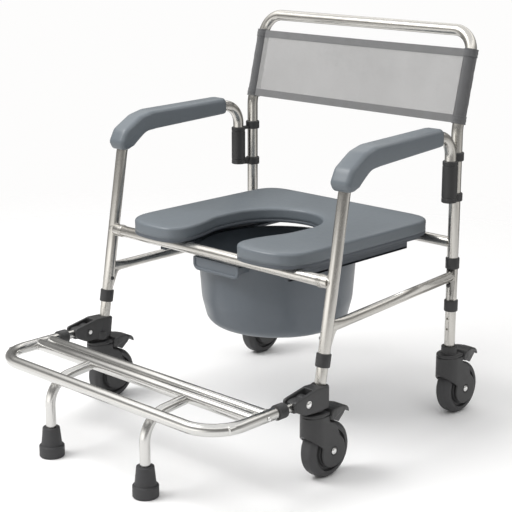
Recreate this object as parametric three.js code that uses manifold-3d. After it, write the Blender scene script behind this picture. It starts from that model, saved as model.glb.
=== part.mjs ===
// Wheeled commode chair: a tubular aluminium frame on four braked swivel casters, with a mesh back,
// padded arms, a horseshoe seat over a slide-in bucket, and a fold-up footrest on two feet.
// Millimetres, +Z up, floor at z = 0. The sitter faces -Y, and +X is the sitter's left.
import * as THREE from 'three';
import { mergeVertices } from 'three/addons/utils/BufferGeometryUtils.js';
import Module from 'manifold-3d';

const wasm = await Module();
wasm.setup();
const { Manifold, Mesh: SolidMesh } = wasm;

// ---------------------------------------------------------------- driving dimensions
const TUBE_R = 12.7;            // frame tubes, 25.4 mm outside
const BRACE_R = 11;             // side braces
const LEG_R = 11.5;             // telescoping inner legs
const SLIDER_R = 10;            // inner tubes of the footrest
const SLIP = 0.35;              // clearance between pieces that touch
const TUBE_SIDES = 12;
const FLAT = Math.cos(Math.PI / TUBE_SIDES);    // flat radius over corner radius of a faceted tube
const OUTER_BORE = (TUBE_R + SLIP) / FLAT;      // a bore that clears a frame tube

const POST_X = 312;             // rear posts
const POST_Y = 358;
const BACK_BEND_Z = 664;        // the posts lean back above this height
const BACK_LEAN = 0.2458;       // backward run per millimetre of height
const TOP_BAR_Z = 873;
const TOP_BEND_R = 50;

const LEG_X = 337;              // front legs
const LEG_Y = -119;             // where the leg axis crosses LEG_Z
const LEG_Z = 187.7;
const LEG_LEAN = 0.1712;
const ARM_Z = 658;              // armrest tube
const ARM_FRONT_BEND = 92;
const ARM_REAR_BEND = 48;
const SOCKET_X = 324.2;         // where the arm plugs in beside the rear post
const SOCKET_Y = 319.7;
const ARM_END_Z = 512;

const BAR_Z = 407.2;            // seat crossbars
const SEAT_BOTTOM = BAR_Z + TUBE_R + SLIP;
const SEAT_TOP = 456;
const SEAT_HALF = 257;
const SEAT_FRONT = -128;
const SEAT_REAR = 367;
const OPENING_HALF = 114;
const OPENING_REAR = 214;

const BUCKET_Y = 116;
const BUCKET_R = 181;
const RIM_R = 192;
const RIM_Z = 391.5;
const BUCKET_BOTTOM = 215;

const FOOT_Z = 179;             // footrest plane
const FOOT_X = 341;
const FOOT_FRONT = -423;
const FOOT_BEND_R = 76;
const FERRULE_X = 150;
const FERRULE_Y = -427;
const PIVOT_Y = -173;

const FRONT_CASTER = [LEG_X, -133];
const REAR_CASTER = [POST_X, POST_Y];
const WHEEL_R = 60;
const WHEEL_W = 38;
const TRAIL = 32;
const HOOD_HALF = 27;           // half width of the caster's hood
const HOOD_FRONT = 33;          // how far the hood's rounded front reaches from the swivel axis
const HOOD_TOP = 149;

// y of the front leg's axis at height z
const legY = (z) => LEG_Y + (z - LEG_Z) * LEG_LEAN;
// y of the reclined part of a rear post at height z
const backY = (z) => POST_Y + Math.max(0, z - BACK_BEND_Z) * BACK_LEAN;
const LEG_ANGLE = Math.atan(LEG_LEAN);
const BACK_ANGLE = Math.atan(BACK_LEAN);

// ---------------------------------------------------------------- materials
const FINISH = {
  tube: { color: 0xb9b6b0, roughness: 0.34, metalness: 1 },
  bright: { color: 0xc9c8c4, roughness: 0.26, metalness: 1 },
  steel: { color: 0xd6d6d4, roughness: 0.22, metalness: 1 },
  black: { color: 0x2b2b2c, roughness: 0.55, metalness: 0 },
  rubber: { color: 0x242425, roughness: 0.75, metalness: 0 },
  pad: { color: 0x5d666f, roughness: 0.5, metalness: 0 },
  pail: { color: 0x59616a, roughness: 0.42, metalness: 0 },
  board: { color: 0x3c4248, roughness: 0.5, metalness: 0 },
  mesh: { color: 0x9b9da0, roughness: 0.8, metalness: 0 },
};

const chair = new THREE.Group();

function place(name, geometry, finish, x = 0, y = 0, z = 0) {
  const mesh = new THREE.Mesh(geometry, new THREE.MeshStandardMaterial(FINISH[finish]));
  mesh.name = name;
  mesh.position.set(x, y, z);
  chair.add(mesh);
  return mesh;
}

// Calls make(side, name) for both sides of the chair; side is +1 for the sitter's left.
function bothSides(make) {
  make(1, 'left');
  make(-1, 'right');
}

// ---------------------------------------------------------------- solids
function solid(geometry) {
  const bare = geometry.clone();
  bare.deleteAttribute('normal');
  bare.deleteAttribute('uv');
  const merged = mergeVertices(bare, 1e-3);
  return new Manifold(new SolidMesh({
    numProp: 3,
    vertProperties: new Float32Array(merged.attributes.position.array),
    triVerts: new Uint32Array(merged.index.array),
  }));
}

function geometryOf(body) {
  const mesh = body.getMesh();
  const geometry = new THREE.BufferGeometry();
  geometry.setAttribute('position', new THREE.BufferAttribute(new Float32Array(mesh.vertProperties), 3));
  geometry.setIndex(new THREE.BufferAttribute(new Uint32Array(mesh.triVerts), 1));
  return geometry;
}

const join = (...parts) => geometryOf(parts.map(solid).reduce((all, next) => all.add(next)));
const cut = (base, ...tools) => geometryOf(
  tools.map(solid).reduce((left, tool) => left.subtract(tool), solid(base)));
const common = (a, b) => geometryOf(solid(a).intersect(solid(b)));

function box(x0, x1, y0, y1, z0, z1) {
  const geometry = new THREE.BoxGeometry(x1 - x0, y1 - y0, z1 - z0);
  return geometry.translate((x0 + x1) / 2, (y0 + y1) / 2, (z0 + z1) / 2);
}

// A straight cylinder or cone between two points.
function rod(from, to, radius, endRadius = radius, sides = TUBE_SIDES) {
  const a = new THREE.Vector3(...from);
  const b = new THREE.Vector3(...to);
  const along = b.clone().sub(a);
  const geometry = new THREE.CylinderGeometry(endRadius, radius, along.length(), sides);
  const up = new THREE.Vector3(0, 1, 0);
  const turn = new THREE.Quaternion().setFromUnitVectors(up, along.clone().normalize());
  return geometry.applyQuaternion(turn).translate(...a.add(b).multiplyScalar(0.5).toArray());
}

// A solid of revolution about +Z from a closed outline of [radius, z] points.
function turned(outline, sides = 16) {
  const points = outline.map(([r, z]) => new THREE.Vector2(r, z));
  return new THREE.LatheGeometry([...points, points[0].clone()], sides).rotateX(Math.PI / 2);
}

// A ring between two radii and two heights, with its outer edges eased.
function ring(inner, outer, low, high, ease = 1) {
  return turned([
    [inner, low], [outer - ease, low], [outer, low + ease],
    [outer, high - ease], [outer - ease, high], [inner, high],
  ], TUBE_SIDES);
}

// Straight runs between corner points, with a circular bend at each inner corner.
class BentPath extends THREE.Curve {
  constructor(corners, bendRadius, bendSteps = 4) {
    super();
    const points = corners.map((p) => new THREE.Vector3(...p));
    this.stops = [points[0]];
    for (let i = 1; i < points.length - 1; i += 1) {
      const radius = Array.isArray(bendRadius) ? bendRadius[i - 1] : bendRadius;
      this.stops.push(...BentPath.bend(points[i - 1], points[i], points[i + 1], radius, bendSteps));
    }
    this.stops.push(points[points.length - 1]);
  }

  static bend(before, corner, after, radius, steps) {
    const into = corner.clone().sub(before).normalize();
    const out = after.clone().sub(corner).normalize();
    const turn = into.angleTo(out);
    const start = corner.clone().addScaledVector(into, -radius * Math.tan(turn / 2));
    const inward = out.clone().addScaledVector(into, -out.dot(into)).normalize();
    return Array.from({ length: steps + 1 }, (_, k) => {
      const angle = (turn * k) / steps;
      return start.clone()
        .addScaledVector(into, radius * Math.sin(angle))
        .addScaledVector(inward, radius * (1 - Math.cos(angle)));
    });
  }

  getPointAt(u, target = new THREE.Vector3()) {
    const place = u * (this.stops.length - 1);
    const i = Math.min(Math.floor(place + 1e-9), this.stops.length - 2);
    return target.lerpVectors(this.stops[i], this.stops[i + 1], place - i);
  }

  getTangentAt(u, target = new THREE.Vector3()) {
    const last = this.stops.length - 1;
    const i = Math.round(u * last);
    const run = (k) => this.stops[k + 1].clone().sub(this.stops[k]).normalize();
    const before = i > 0 ? run(i - 1) : run(0);
    const after = i < last ? run(i) : run(last - 1);
    return target.copy(before.add(after).normalize());
  }
}

function tube(path, radius, sides = TUBE_SIDES) {
  const section = new THREE.Shape();
  for (let k = 0; k < sides; k += 1) {
    const angle = (2 * Math.PI * (k + 0.5)) / sides;
    const [x, y] = [radius * Math.cos(angle), radius * Math.sin(angle)];
    if (k === 0) section.moveTo(x, y); else section.lineTo(x, y);
  }
  return new THREE.ExtrudeGeometry(section, { steps: path.stops.length - 1, extrudePath: path });
}

// An outline in the YZ plane, given as a Shape of (y, z), made thick along X and centred on x = 0.
function sidePlate(shape, width, options = {}) {
  const bevel = options.bevel ?? 0;
  const geometry = new THREE.ExtrudeGeometry(shape, {
    depth: width - 2 * bevel,
    bevelEnabled: bevel > 0,
    bevelThickness: bevel,
    bevelSize: bevel,
    bevelOffset: -bevel,
    bevelSegments: 1,
    curveSegments: options.curveSegments ?? 3,
  });
  geometry.translate(0, 0, -(width - 2 * bevel) / 2);
  return geometry.applyMatrix4(new THREE.Matrix4().makeBasis(
    new THREE.Vector3(0, 1, 0), new THREE.Vector3(0, 0, 1), new THREE.Vector3(1, 0, 0)));
}

function outline(points) {
  return new THREE.Shape(points.map(([a, b]) => new THREE.Vector2(a, b)));
}

// ---------------------------------------------------------------- back frame and sling
const JOINT_Z = 361;            // the posts meet the lower rear tubes here, inside the upper collar

const backPath = new BentPath([
  [-POST_X, POST_Y, JOINT_Z + SLIP], [-POST_X, POST_Y, BACK_BEND_Z], [-POST_X, backY(TOP_BAR_Z), TOP_BAR_Z],
  [POST_X, backY(TOP_BAR_Z), TOP_BAR_Z], [POST_X, POST_Y, BACK_BEND_Z], [POST_X, POST_Y, JOINT_Z + SLIP],
], [90, TOP_BEND_R, TOP_BEND_R, 90]);

function backFrame() {
  place('backrest_frame', tube(backPath, TUBE_R), 'tube');
}

function rearCrossbar() {
  const reach = POST_X - 4;
  const bar = rod([-reach, POST_Y, BAR_Z], [reach, POST_Y, BAR_Z], TUBE_R - 0.7);
  const posts = [-1, 1].map((side) => rod([side * POST_X, POST_Y, BAR_Z - 30],
    [side * POST_X, POST_Y, BAR_Z + 30], OUTER_BORE));
  place('rear_crossbar', cut(bar, ...posts), 'tube');
}

const SLING_LOW = 676;
const SLING_HIGH = 834;
const SLEEVE_R = 16.4;

function backSling() {
  const sleeves = [-1, 1].map((side) => rod([side * POST_X, backY(SLING_LOW), SLING_LOW],
    [side * POST_X, backY(SLING_HIGH), SLING_HIGH], SLEEVE_R));
  const height = (SLING_HIGH - SLING_LOW) / Math.cos(BACK_ANGLE);
  const panel = new THREE.BoxGeometry(2 * (POST_X - 2), 4, height).rotateX(-BACK_ANGLE);
  const middle = (SLING_LOW + SLING_HIGH) / 2;
  panel.translate(0, backY(middle) - 6, middle);
  const posts = tube(backPath, OUTER_BORE);
  place('back_sling', cut(join(sleeves[0], panel, sleeves[1]), posts), 'mesh');
}

// ---------------------------------------------------------------- side tubes and braces
// The front leg, the armrest tube and its plug-in end are one bent tube, bored for the inner leg.
const FRONT_TUBE_END = 252;
const BORE_TOP = 345;

function sidePath(side) {
  return new BentPath([
    [side * LEG_X, legY(FRONT_TUBE_END), FRONT_TUBE_END], [side * LEG_X, legY(ARM_Z), ARM_Z],
    [side * SOCKET_X, SOCKET_Y, ARM_Z], [side * SOCKET_X, SOCKET_Y, ARM_END_Z],
  ], [ARM_FRONT_BEND, ARM_REAR_BEND]);
}

const BORE_R = (LEG_R + SLIP) / FLAT;
const STUB_END = 36;            // how far the crossbar's welded stub reaches from the leg's axis

const HOLE_R = 3.4;             // holes for the push pins
const REAR_PIN_Z = 310;
const FRONT_PIN_Z = 294;
const FOOT_PIN_Y = -284;
const HOLE_DEPTH = 2.4;

// A hole drilled through one wall of a tube, from just outside its skin inwards.
function pinHole(x, y, z, nx, ny) {
  const reach = (distance) => [x + nx * distance, y + ny * distance, z];
  return rod(reach(TUBE_R + 2), reach(TUBE_R - HOLE_DEPTH), HOLE_R, HOLE_R, 8);
}

function sideTube(side, name) {
  const bore = rod([side * LEG_X, legY(FRONT_TUBE_END - 20), FRONT_TUBE_END - 20],
    [side * LEG_X, legY(BORE_TOP), BORE_TOP], BORE_R);
  const y = legY(BAR_Z);
  const stub = rod([side * (LEG_X - 3), y, BAR_Z], [side * (LEG_X - STUB_END), y, BAR_Z], TUBE_R + 0.6);
  const hole = pinHole(side * LEG_X, legY(FRONT_PIN_Z), FRONT_PIN_Z, -side, 0);
  place(`${name}_side_tube`, cut(join(tube(sidePath(side), TUBE_R), stub), bore, hole), 'tube');
}

function frontCrossbar() {
  const reach = LEG_X - STUB_END - SLIP;
  const y = legY(BAR_Z);
  place('front_crossbar', rod([-reach, y, BAR_Z], [reach, y, BAR_Z], TUBE_R), 'tube');
}

// The lower rear tube carries the side brace, and a gusset under the brace's front end.
const REAR_TUBE_END = 262;
const BRACE_FRONT_Z = 317.2;
const BRACE_REAR_Z = 330;

function rearLowerTube(side, name) {
  const post = rod([side * POST_X, POST_Y, REAR_TUBE_END], [side * POST_X, POST_Y, JOINT_Z - SLIP], TUBE_R);
  const brace = rod([side * LEG_X, legY(BRACE_FRONT_Z), BRACE_FRONT_Z],
    [side * POST_X, POST_Y, BRACE_REAR_Z], BRACE_R);
  const gussetShape = outline([[0, 0], [46, 4], [30, -8], [20, -22], [12, -46], [-8, -46]]);
  const gusset = sidePlate(gussetShape, 9);
  gusset.translate(side * (LEG_X - 0.6), legY(BRACE_FRONT_Z) + 4, BRACE_FRONT_Z);
  const leg = rod([side * LEG_X, legY(BRACE_FRONT_Z - 90), BRACE_FRONT_Z - 90],
    [side * LEG_X, legY(BRACE_FRONT_Z + 90), BRACE_FRONT_Z + 90], OUTER_BORE);
  const bore = rod([side * POST_X, POST_Y, REAR_TUBE_END - 20], [side * POST_X, POST_Y, BORE_TOP], BORE_R);
  const hole = pinHole(side * POST_X, POST_Y, REAR_PIN_Z, 0, -1);
  const welded = cut(join(post, cut(join(brace, gusset), leg)), bore, hole);
  place(`${name}_rear_lower_tube`, welded, 'tube');
}

// ---------------------------------------------------------------- arm sockets and pads
function armSocket(side, name) {
  const armX = side * SOCKET_X;
  const postX = side * POST_X;
  const [low, high] = [512, 600];
  const sleeve = rod([armX, SOCKET_Y, low - 4], [armX, SOCKET_Y, high], 17);
  const rings = [[594, 613], [504, 522]].map(([z0, z1]) => (
    rod([postX, POST_Y, z0], [postX, POST_Y, z1], 16.6)));
  const webs = [[596, 600], [508, 520]].map(([z0, z1]) => {
    const web = new THREE.BoxGeometry(14, Math.hypot(SOCKET_X - POST_X, SOCKET_Y - POST_Y), z1 - z0);
    web.rotateZ(side * Math.atan2(SOCKET_X - POST_X, POST_Y - SOCKET_Y));
    return web.translate((armX + postX) / 2, (SOCKET_Y + POST_Y) / 2, (z0 + z1) / 2);
  });
  const postBore = rod([postX, POST_Y, low - 30], [postX, POST_Y, high + 30], OUTER_BORE);
  const armBore = rod([armX, SOCKET_Y, ARM_END_Z - SLIP], [armX, SOCKET_Y, high + 30], OUTER_BORE);
  place(`${name}_arm_socket`, cut(join(sleeve, ...rings, ...webs), postBore, armBore), 'black');
}

// The moulded pad wraps the arm tube and turns down over the top of the front leg.
const PAD_WIDTH = 52;

function armPad(side, name) {
  const shape = new THREE.Shape();
  shape.moveTo(-42, 592);
  shape.lineTo(-54, 591);
  shape.quadraticCurveTo(-70, 591, -70, 608);
  shape.quadraticCurveTo(-70, 628, -56, 638);
  shape.lineTo(-16, 664);
  shape.quadraticCurveTo(0, 674, 22, 674);
  shape.lineTo(248, 680);
  shape.quadraticCurveTo(262, 680, 262, 666);
  shape.lineTo(262, 656);
  shape.quadraticCurveTo(262, 643, 248, 642.5);
  shape.lineTo(36, 632);
  shape.quadraticCurveTo(6, 631, -8, 620);
  shape.lineTo(-42, 592);
  const body = sidePlate(shape, PAD_WIDTH, { bevel: 9 });
  const swing = Math.atan2(LEG_X - SOCKET_X, SOCKET_Y - legY(ARM_Z));
  body.translate(0, -legY(ARM_Z), 0).rotateZ(side * swing).translate(side * LEG_X, legY(ARM_Z), 0);
  place(`${name}_arm_pad`, cut(body, tube(sidePath(side), OUTER_BORE)), 'pad');
}

// ---------------------------------------------------------------- seat, board, rails and bucket
// The horseshoe outline: a rounded plate with a rounded opening that runs out through the front.
function horseshoe(half, front, rear, cornerR, mouthHalf, openHalf, openRear, tipR) {
  const shape = new THREE.Shape();
  const bulge = front + 90;
  shape.moveTo(mouthHalf + tipR, front);
  shape.lineTo(half - cornerR, front);
  shape.quadraticCurveTo(half, front, half, front + cornerR);
  shape.lineTo(half, rear - 0.7 * cornerR);
  shape.quadraticCurveTo(half, rear, half - 0.7 * cornerR, rear);
  shape.lineTo(-half + 0.7 * cornerR, rear);
  shape.quadraticCurveTo(-half, rear, -half, rear - 0.7 * cornerR);
  shape.lineTo(-half, front + cornerR);
  shape.quadraticCurveTo(-half, front, -half + cornerR, front);
  shape.lineTo(-mouthHalf - tipR, front);
  shape.quadraticCurveTo(-mouthHalf, front, -mouthHalf, front + tipR);
  shape.quadraticCurveTo(-mouthHalf, bulge, -openHalf, bulge + 70);
  shape.lineTo(-openHalf, openRear - openHalf);
  shape.absarc(0, openRear - openHalf, openHalf, Math.PI, 0, true);
  shape.lineTo(openHalf, bulge + 70);
  shape.quadraticCurveTo(mouthHalf, bulge, mouthHalf, front + tipR);
  shape.quadraticCurveTo(mouthHalf, front, mouthHalf + tipR, front);
  return shape;
}

function seatCushion() {
  const bevel = 9;
  const shape = horseshoe(SEAT_HALF, SEAT_FRONT, SEAT_REAR, 84, 84, OPENING_HALF, OPENING_REAR, 46);
  const geometry = new THREE.ExtrudeGeometry(shape, {
    depth: SEAT_TOP - SEAT_BOTTOM - 2 * bevel,
    bevelThickness: bevel,
    bevelSize: bevel,
    bevelOffset: -bevel,
    bevelSegments: 1,
    curveSegments: 4,
  });
  place('seat_cushion', geometry, 'pad', 0, 0, SEAT_BOTTOM + bevel);
}

const BOARD_LOW = 408;
const BOARD_FRONT = legY(BAR_Z) + TUBE_R + 3;
const BOARD_REAR = POST_Y - TUBE_R - 3;

function seatBoard() {
  const shape = horseshoe(236, BOARD_FRONT, BOARD_REAR, 12, 150, 172, OPENING_REAR + 58, 6);
  const depth = SEAT_BOTTOM - SLIP - BOARD_LOW;
  const board = new THREE.ExtrudeGeometry(shape, { depth, bevelEnabled: false, curveSegments: 3 });
  place('seat_board', board, 'board', 0, 0, BOARD_LOW);
}

// An angle strip under the board on each side; the bucket's rim slides on its inward lip.
const RAIL_TOP = BOARD_LOW - SLIP;
const RIM_LOW = RIM_Z - 6;

function bucketRail(side, name) {
  const web = box(194, 200, BOARD_FRONT + 6, BOARD_REAR - 6, RIM_LOW - 7, RAIL_TOP);
  const lip = box(184, 200, BOARD_FRONT + 6, BOARD_REAR - 6, RIM_LOW - 7, RIM_LOW - 0.5);
  const rail = join(web, lip);
  const onSide = side > 0 ? rail : rail.rotateZ(Math.PI).translate(0, BOARD_FRONT + BOARD_REAR, 0);
  place(`${name}_bucket_rail`, onSide, 'board');
}

function bucket() {
  const wall = 3.2;
  const body = turned([
    [0, BUCKET_BOTTOM], [118, BUCKET_BOTTOM], [154, BUCKET_BOTTOM + 13], [170, BUCKET_BOTTOM + 46],
    [BUCKET_R - 1, RIM_LOW], [RIM_R, RIM_LOW], [RIM_R, RIM_Z], [BUCKET_R - wall, RIM_Z],
    [170 - wall, BUCKET_BOTTOM + 46], [152, BUCKET_BOTTOM + 16], [117, BUCKET_BOTTOM + wall],
    [0, BUCKET_BOTTOM + wall],
  ], 28);
  const face = -BUCKET_R - 17;
  const grip = join(
    box(-70, 70, face, face + 4, 361, RIM_Z - 0.8),
    box(-70, 70, face, -BUCKET_R + 4, RIM_Z - 4.8, RIM_Z - 0.8),
    box(-70, -66, face, -150, 361, RIM_Z - 0.8),
    box(66, 70, face, -150, 361, RIM_Z - 0.8));
  const hollow = turned([[0, BUCKET_BOTTOM + 50], [168, BUCKET_BOTTOM + 50],
    [BUCKET_R - wall, RIM_Z], [BUCKET_R - wall, RIM_Z + 9], [0, RIM_Z + 9]], 28);
  place('bucket', join(body, cut(grip, hollow)), 'pail', 0, BUCKET_Y, 0);
}

// ---------------------------------------------------------------- telescoping legs, collars and pins
// A straight inner leg standing at the origin, with a row of blind pin holes facing -Y.
function innerLeg(length, holeHeights) {
  const bore = rod([0, 0, -5], [0, 0, length - 8], 8.2);
  const holes = holeHeights.map((z) => rod([0, -LEG_R - 2, z], [0, -LEG_R + 1.6, z], HOLE_R, HOLE_R, 8));
  return cut(rod([0, 0, 0], [0, 0, length], LEG_R), bore, ...holes);
}

const REAR_LEG_LOW = 154;
const FRONT_LEG_LOW = 170;

function innerLegs(side, name) {
  const rear = innerLeg(188, [207 - REAR_LEG_LOW, 232 - REAR_LEG_LOW]);
  place(`rear_${name}_inner_leg`, rear, 'tube', side * POST_X, POST_Y, REAR_LEG_LOW);
  const front = innerLeg(172, []);
  place(`front_${name}_inner_leg`, front, 'tube', side * LEG_X, legY(FRONT_LEG_LOW), FRONT_LEG_LOW)
    .rotation.x = -LEG_ANGLE;
}

// A plastic cap over the end of an outer tube, closing down to the inner one below.
function endCollar(outerEnd, length, outerBore, innerBore) {
  return turned([
    [innerBore, outerEnd - length / 2], [14.9, outerEnd - length / 2], [15.6, outerEnd - length / 2 + 1.2],
    [15.6, outerEnd + length / 2 - 1.2], [14.9, outerEnd + length / 2], [outerBore, outerEnd + length / 2],
    [outerBore, outerEnd - SLIP], [innerBore, outerEnd - SLIP],
  ], TUBE_SIDES);
}

function collars(side, name) {
  place(`rear_${name}_upper_collar`, ring(OUTER_BORE, 15.6, JOINT_Z - 12.5, JOINT_Z + 12.5), 'black',
    side * POST_X, POST_Y, 0);
  place(`rear_${name}_lower_collar`, endCollar(REAR_TUBE_END, 26, OUTER_BORE, BORE_R), 'black',
    side * POST_X, POST_Y, 0);
  place(`front_${name}_collar`, endCollar(0, 28, OUTER_BORE, BORE_R), 'black',
    side * LEG_X, legY(FRONT_TUBE_END), FRONT_TUBE_END).rotation.x = -LEG_ANGLE;
}

// A push pin pointing along -Y, with its head on the tube's skin and its shank in the hole.
function pin() {
  return turned([
    [0, -1.3], [HOLE_R - 0.6, -1.3], [HOLE_R - 0.6, 0], [4.6, 0], [3.8, 2.2], [0, 3.3],
  ], 8).rotateX(Math.PI / 2);
}

function legPins(side, name) {
  const skin = TUBE_R + SLIP;
  place(`rear_${name}_leg_pin`, pin(), 'black', side * POST_X, POST_Y - skin, REAR_PIN_Z);
  place(`front_${name}_leg_pin`, pin().rotateZ((-side * Math.PI) / 2), 'black',
    side * (LEG_X - skin), legY(FRONT_PIN_Z), FRONT_PIN_Z);
}

// ---------------------------------------------------------------- footrest brackets
const BRACKET_LOW = HOOD_TOP + 3.5;
const CHEEK_IN = SLIDER_R + 0.7;
const CHEEK_OUT = 18;
const BOLT_R = 4;

function footBracket(side, name) {
  const x = side * LEG_X;
  const socket = rod([x, legY(158), 158], [x, legY(203), 203], 19.5);
  const skirt = rod([x, FRONT_CASTER[1], BRACKET_LOW], [x, FRONT_CASTER[1], 172], 20.5);
  const profile = outline([
    [-112, 156], [-150, 155], [-182, 158], [-208, 170], [-216, 180], [-216, 189], [-208, 195], [-150, 204],
    [-112, 203],
  ]);
  const cheeks = sidePlate(profile, 2 * CHEEK_OUT).translate(side * FOOT_X, 0, 0);
  const slot = box(side * FOOT_X - CHEEK_IN, side * FOOT_X + CHEEK_IN, -230, PIVOT_Y + 17.5, 120, 240);
  const legBore = rod([x, legY(FRONT_LEG_LOW - SLIP), FRONT_LEG_LOW - SLIP], [x, legY(240), 240], BORE_R);
  const stemBore = rod([x, FRONT_CASTER[1], 120], [x, FRONT_CASTER[1], 164], 6.4);
  const footX = side * FOOT_X;
  const boltBore = rod([footX - 40, PIVOT_Y, FOOT_Z], [footX + 40, PIVOT_Y, FOOT_Z], BOLT_R + 0.5);
  const bracket = cut(join(socket, skirt, cheeks), slot, legBore, stemBore, boltBore);
  place(`${name}_footrest_bracket`, bracket, 'black');
  const bolt = turned([
    [0, -CHEEK_OUT - 6], [5.5, -CHEEK_OUT - 6], [5.5, -CHEEK_OUT - 0.4], [BOLT_R, -CHEEK_OUT - 0.4],
    [BOLT_R, CHEEK_OUT + 0.4], [6.8, CHEEK_OUT + 0.4], [6, CHEEK_OUT + 3], [0, CHEEK_OUT + 4.4],
  ], 10).rotateY((side * Math.PI) / 2);
  place(`${name}_bracket_bolt`, bolt, 'steel', side * FOOT_X, PIVOT_Y, FOOT_Z);
}

// ---------------------------------------------------------------- footrest
const ARM_REAR = -241;
const FOOT_BARS = [-309, -277];
const SUPPORT_R = 11;
const SUPPORT_BEND = 58;

function footrestFrame() {
  const loop = new BentPath([
    [-FOOT_X, ARM_REAR, FOOT_Z], [-FOOT_X, FOOT_FRONT, FOOT_Z],
    [FOOT_X, FOOT_FRONT, FOOT_Z], [FOOT_X, ARM_REAR, FOOT_Z],
  ], FOOT_BEND_R);
  const bars = FOOT_BARS.map((y) => rod([-FOOT_X, y, FOOT_Z], [FOOT_X, y, FOOT_Z], TUBE_R));
  const supports = [-1, 1].map((side) => tube(new BentPath([
    [side * FERRULE_X, FERRULE_Y, 22], [side * FERRULE_X, FERRULE_Y, 166],
    [side * FERRULE_X, FOOT_BARS[0] - 2, FOOT_Z - 3],
  ], SUPPORT_BEND), SUPPORT_R));
  const bores = [-1, 1].map((side) => rod([side * FOOT_X, ARM_REAR + 20, FOOT_Z],
    [side * FOOT_X, -392, FOOT_Z], (SLIDER_R + SLIP) / FLAT));
  const holes = [-1, 1].map((side) => pinHole(side * FOOT_X, FOOT_PIN_Y, FOOT_Z, side, 0));
  place('footrest_frame', cut(join(tube(loop, TUBE_R), ...bars, ...supports), ...bores, ...holes), 'bright');
}

const COLLAR_HALF = 12;

function footrestSide(side, name) {
  const x = side * FOOT_X;
  const arm = rod([0, -160.5, 0], [0, -386, 0], SLIDER_R);
  const eye = rod([-20, PIVOT_Y, 0], [20, PIVOT_Y, 0], BOLT_R + 0.5);
  place(`${name}_footrest_arm`, cut(arm, eye), 'bright', x, 0, FOOT_Z);
  const collar = endCollar(0, 2 * COLLAR_HALF, OUTER_BORE, (SLIDER_R + SLIP) / FLAT).rotateX(Math.PI / 2);
  place(`${name}_footrest_collar`, collar, 'black', x, ARM_REAR, FOOT_Z);
  const lock = pin().rotateZ((side * Math.PI) / 2);
  place(`${name}_footrest_pin`, lock, 'steel', x + side * (TUBE_R + SLIP), FOOT_PIN_Y, FOOT_Z);
  const ferrule = turned([
    [0, 0], [25, 0], [27, 2], [27, 24], [26, 25.5], [22.3, 25.5], [18.4, 64], [17.4, 65],
    [SUPPORT_R + 0.8, 65], [SUPPORT_R + 0.8, 21.5], [0, 21.5],
  ], 20);
  place(`${name}_footrest_ferrule`, ferrule, 'rubber', side * FERRULE_X, FERRULE_Y, 0);
}

// ---------------------------------------------------------------- casters
// Each caster is drawn about its swivel axis, with the wheel trailing towards +Y.
const PLATE_IN = 22;            // inner faces of the fork's side plates
const COVER_R = 35;             // the side plates' round lower end, about the axle
const AXLE_R = 5;

function fork(isRear) {
  const side = new THREE.Shape();
  side.moveTo(-HOOD_FRONT - 2, 103);
  side.lineTo(-HOOD_FRONT - 2, HOOD_TOP);
  side.lineTo(17, HOOD_TOP);
  side.lineTo(17, 129);
  side.lineTo(34, 121);
  side.quadraticCurveTo(45, 110, TRAIL + 0.5 * COVER_R, WHEEL_R + 0.866 * COVER_R);
  side.absarc(TRAIL, WHEEL_R, COVER_R, Math.PI / 3, 0.87 * Math.PI, true);
  side.lineTo(-HOOD_FRONT - 2, 103);
  const sides = sidePlate(side, 2 * HOOD_HALF);
  const plan = (half, front, low, high) => join(
    rod([0, 0, low], [0, 0, high], half, half, 20).scale(1, front / half, 1),
    box(-half, half, 0, 90, low, high));
  const shell = common(sides, plan(HOOD_HALF, HOOD_FRONT, 0, HOOD_TOP - 3));
  const cap = common(sides, plan(HOOD_HALF - 2.5, HOOD_FRONT - 2.5, HOOD_TOP - 4, HOOD_TOP));
  const well = plan(PLATE_IN, HOOD_FRONT - 6, -10, 126);
  const axle = rod([-40, TRAIL, WHEEL_R], [40, TRAIL, WHEEL_R], AXLE_R + 0.4);
  const stem = rod([0, 0, 124], [0, 0, isRear ? 190 : 161], 5.6);
  const hood = cut(join(shell, cap), well, axle);
  if (!isRear) return join(hood, stem);
  const neck = ring(LEG_R / FLAT + 0.8, 18.5, HOOD_TOP - 1, HOOD_TOP + 17, 2);
  return join(hood, neck, stem);
}

function wheel() {
  const half = WHEEL_W / 2;
  const hub = PLATE_IN - 0.6;
  return turned([
    [AXLE_R + 0.6, -hub], [12, -hub], [13, -hub + 1], [34, -hub + 1], [36, -half + 4.5], [40, -half + 4.5],
    [43, -half], [51, -half + 1], [WHEEL_R, -half + 9], [WHEEL_R, half - 9], [51, half - 1], [43, half],
    [40, half - 4.5], [36, half - 4.5], [34, hub - 1], [13, hub - 1], [12, hub], [AXLE_R + 0.6, hub],
  ], 24).rotateY(Math.PI / 2);
}

function axleBolt() {
  const face = HOOD_HALF + 0.4;
  return turned([
    [0, -face - 4], [7, -face - 4], [7, -face], [AXLE_R, -face],
    [AXLE_R, face], [8, face], [7, face + 2.6], [0, face + 3.6],
  ], 10).rotateY(Math.PI / 2);
}

function pedal() {
  const side = new THREE.Shape();
  side.moveTo(18.5, 132);
  side.lineTo(18.5, 140);
  side.lineTo(27, 152);
  side.quadraticCurveTo(62, 154, 88, 140);
  side.lineTo(96, 131);
  side.lineTo(95, 125);
  side.lineTo(89, 126);
  side.quadraticCurveTo(70, 138, 50, 131);
  side.lineTo(18.5, 131);
  const plan = new THREE.ExtrudeGeometry(outline([
    [-29, 10], [-29, 30], [-25, 52], [-13, 92], [-11, 110], [11, 110], [13, 92], [25, 52], [29, 30], [29, 10],
  ]), { depth: 60, bevelEnabled: false }).translate(0, 0, 100);
  return common(sidePlate(side, 70), plan);
}

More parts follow.
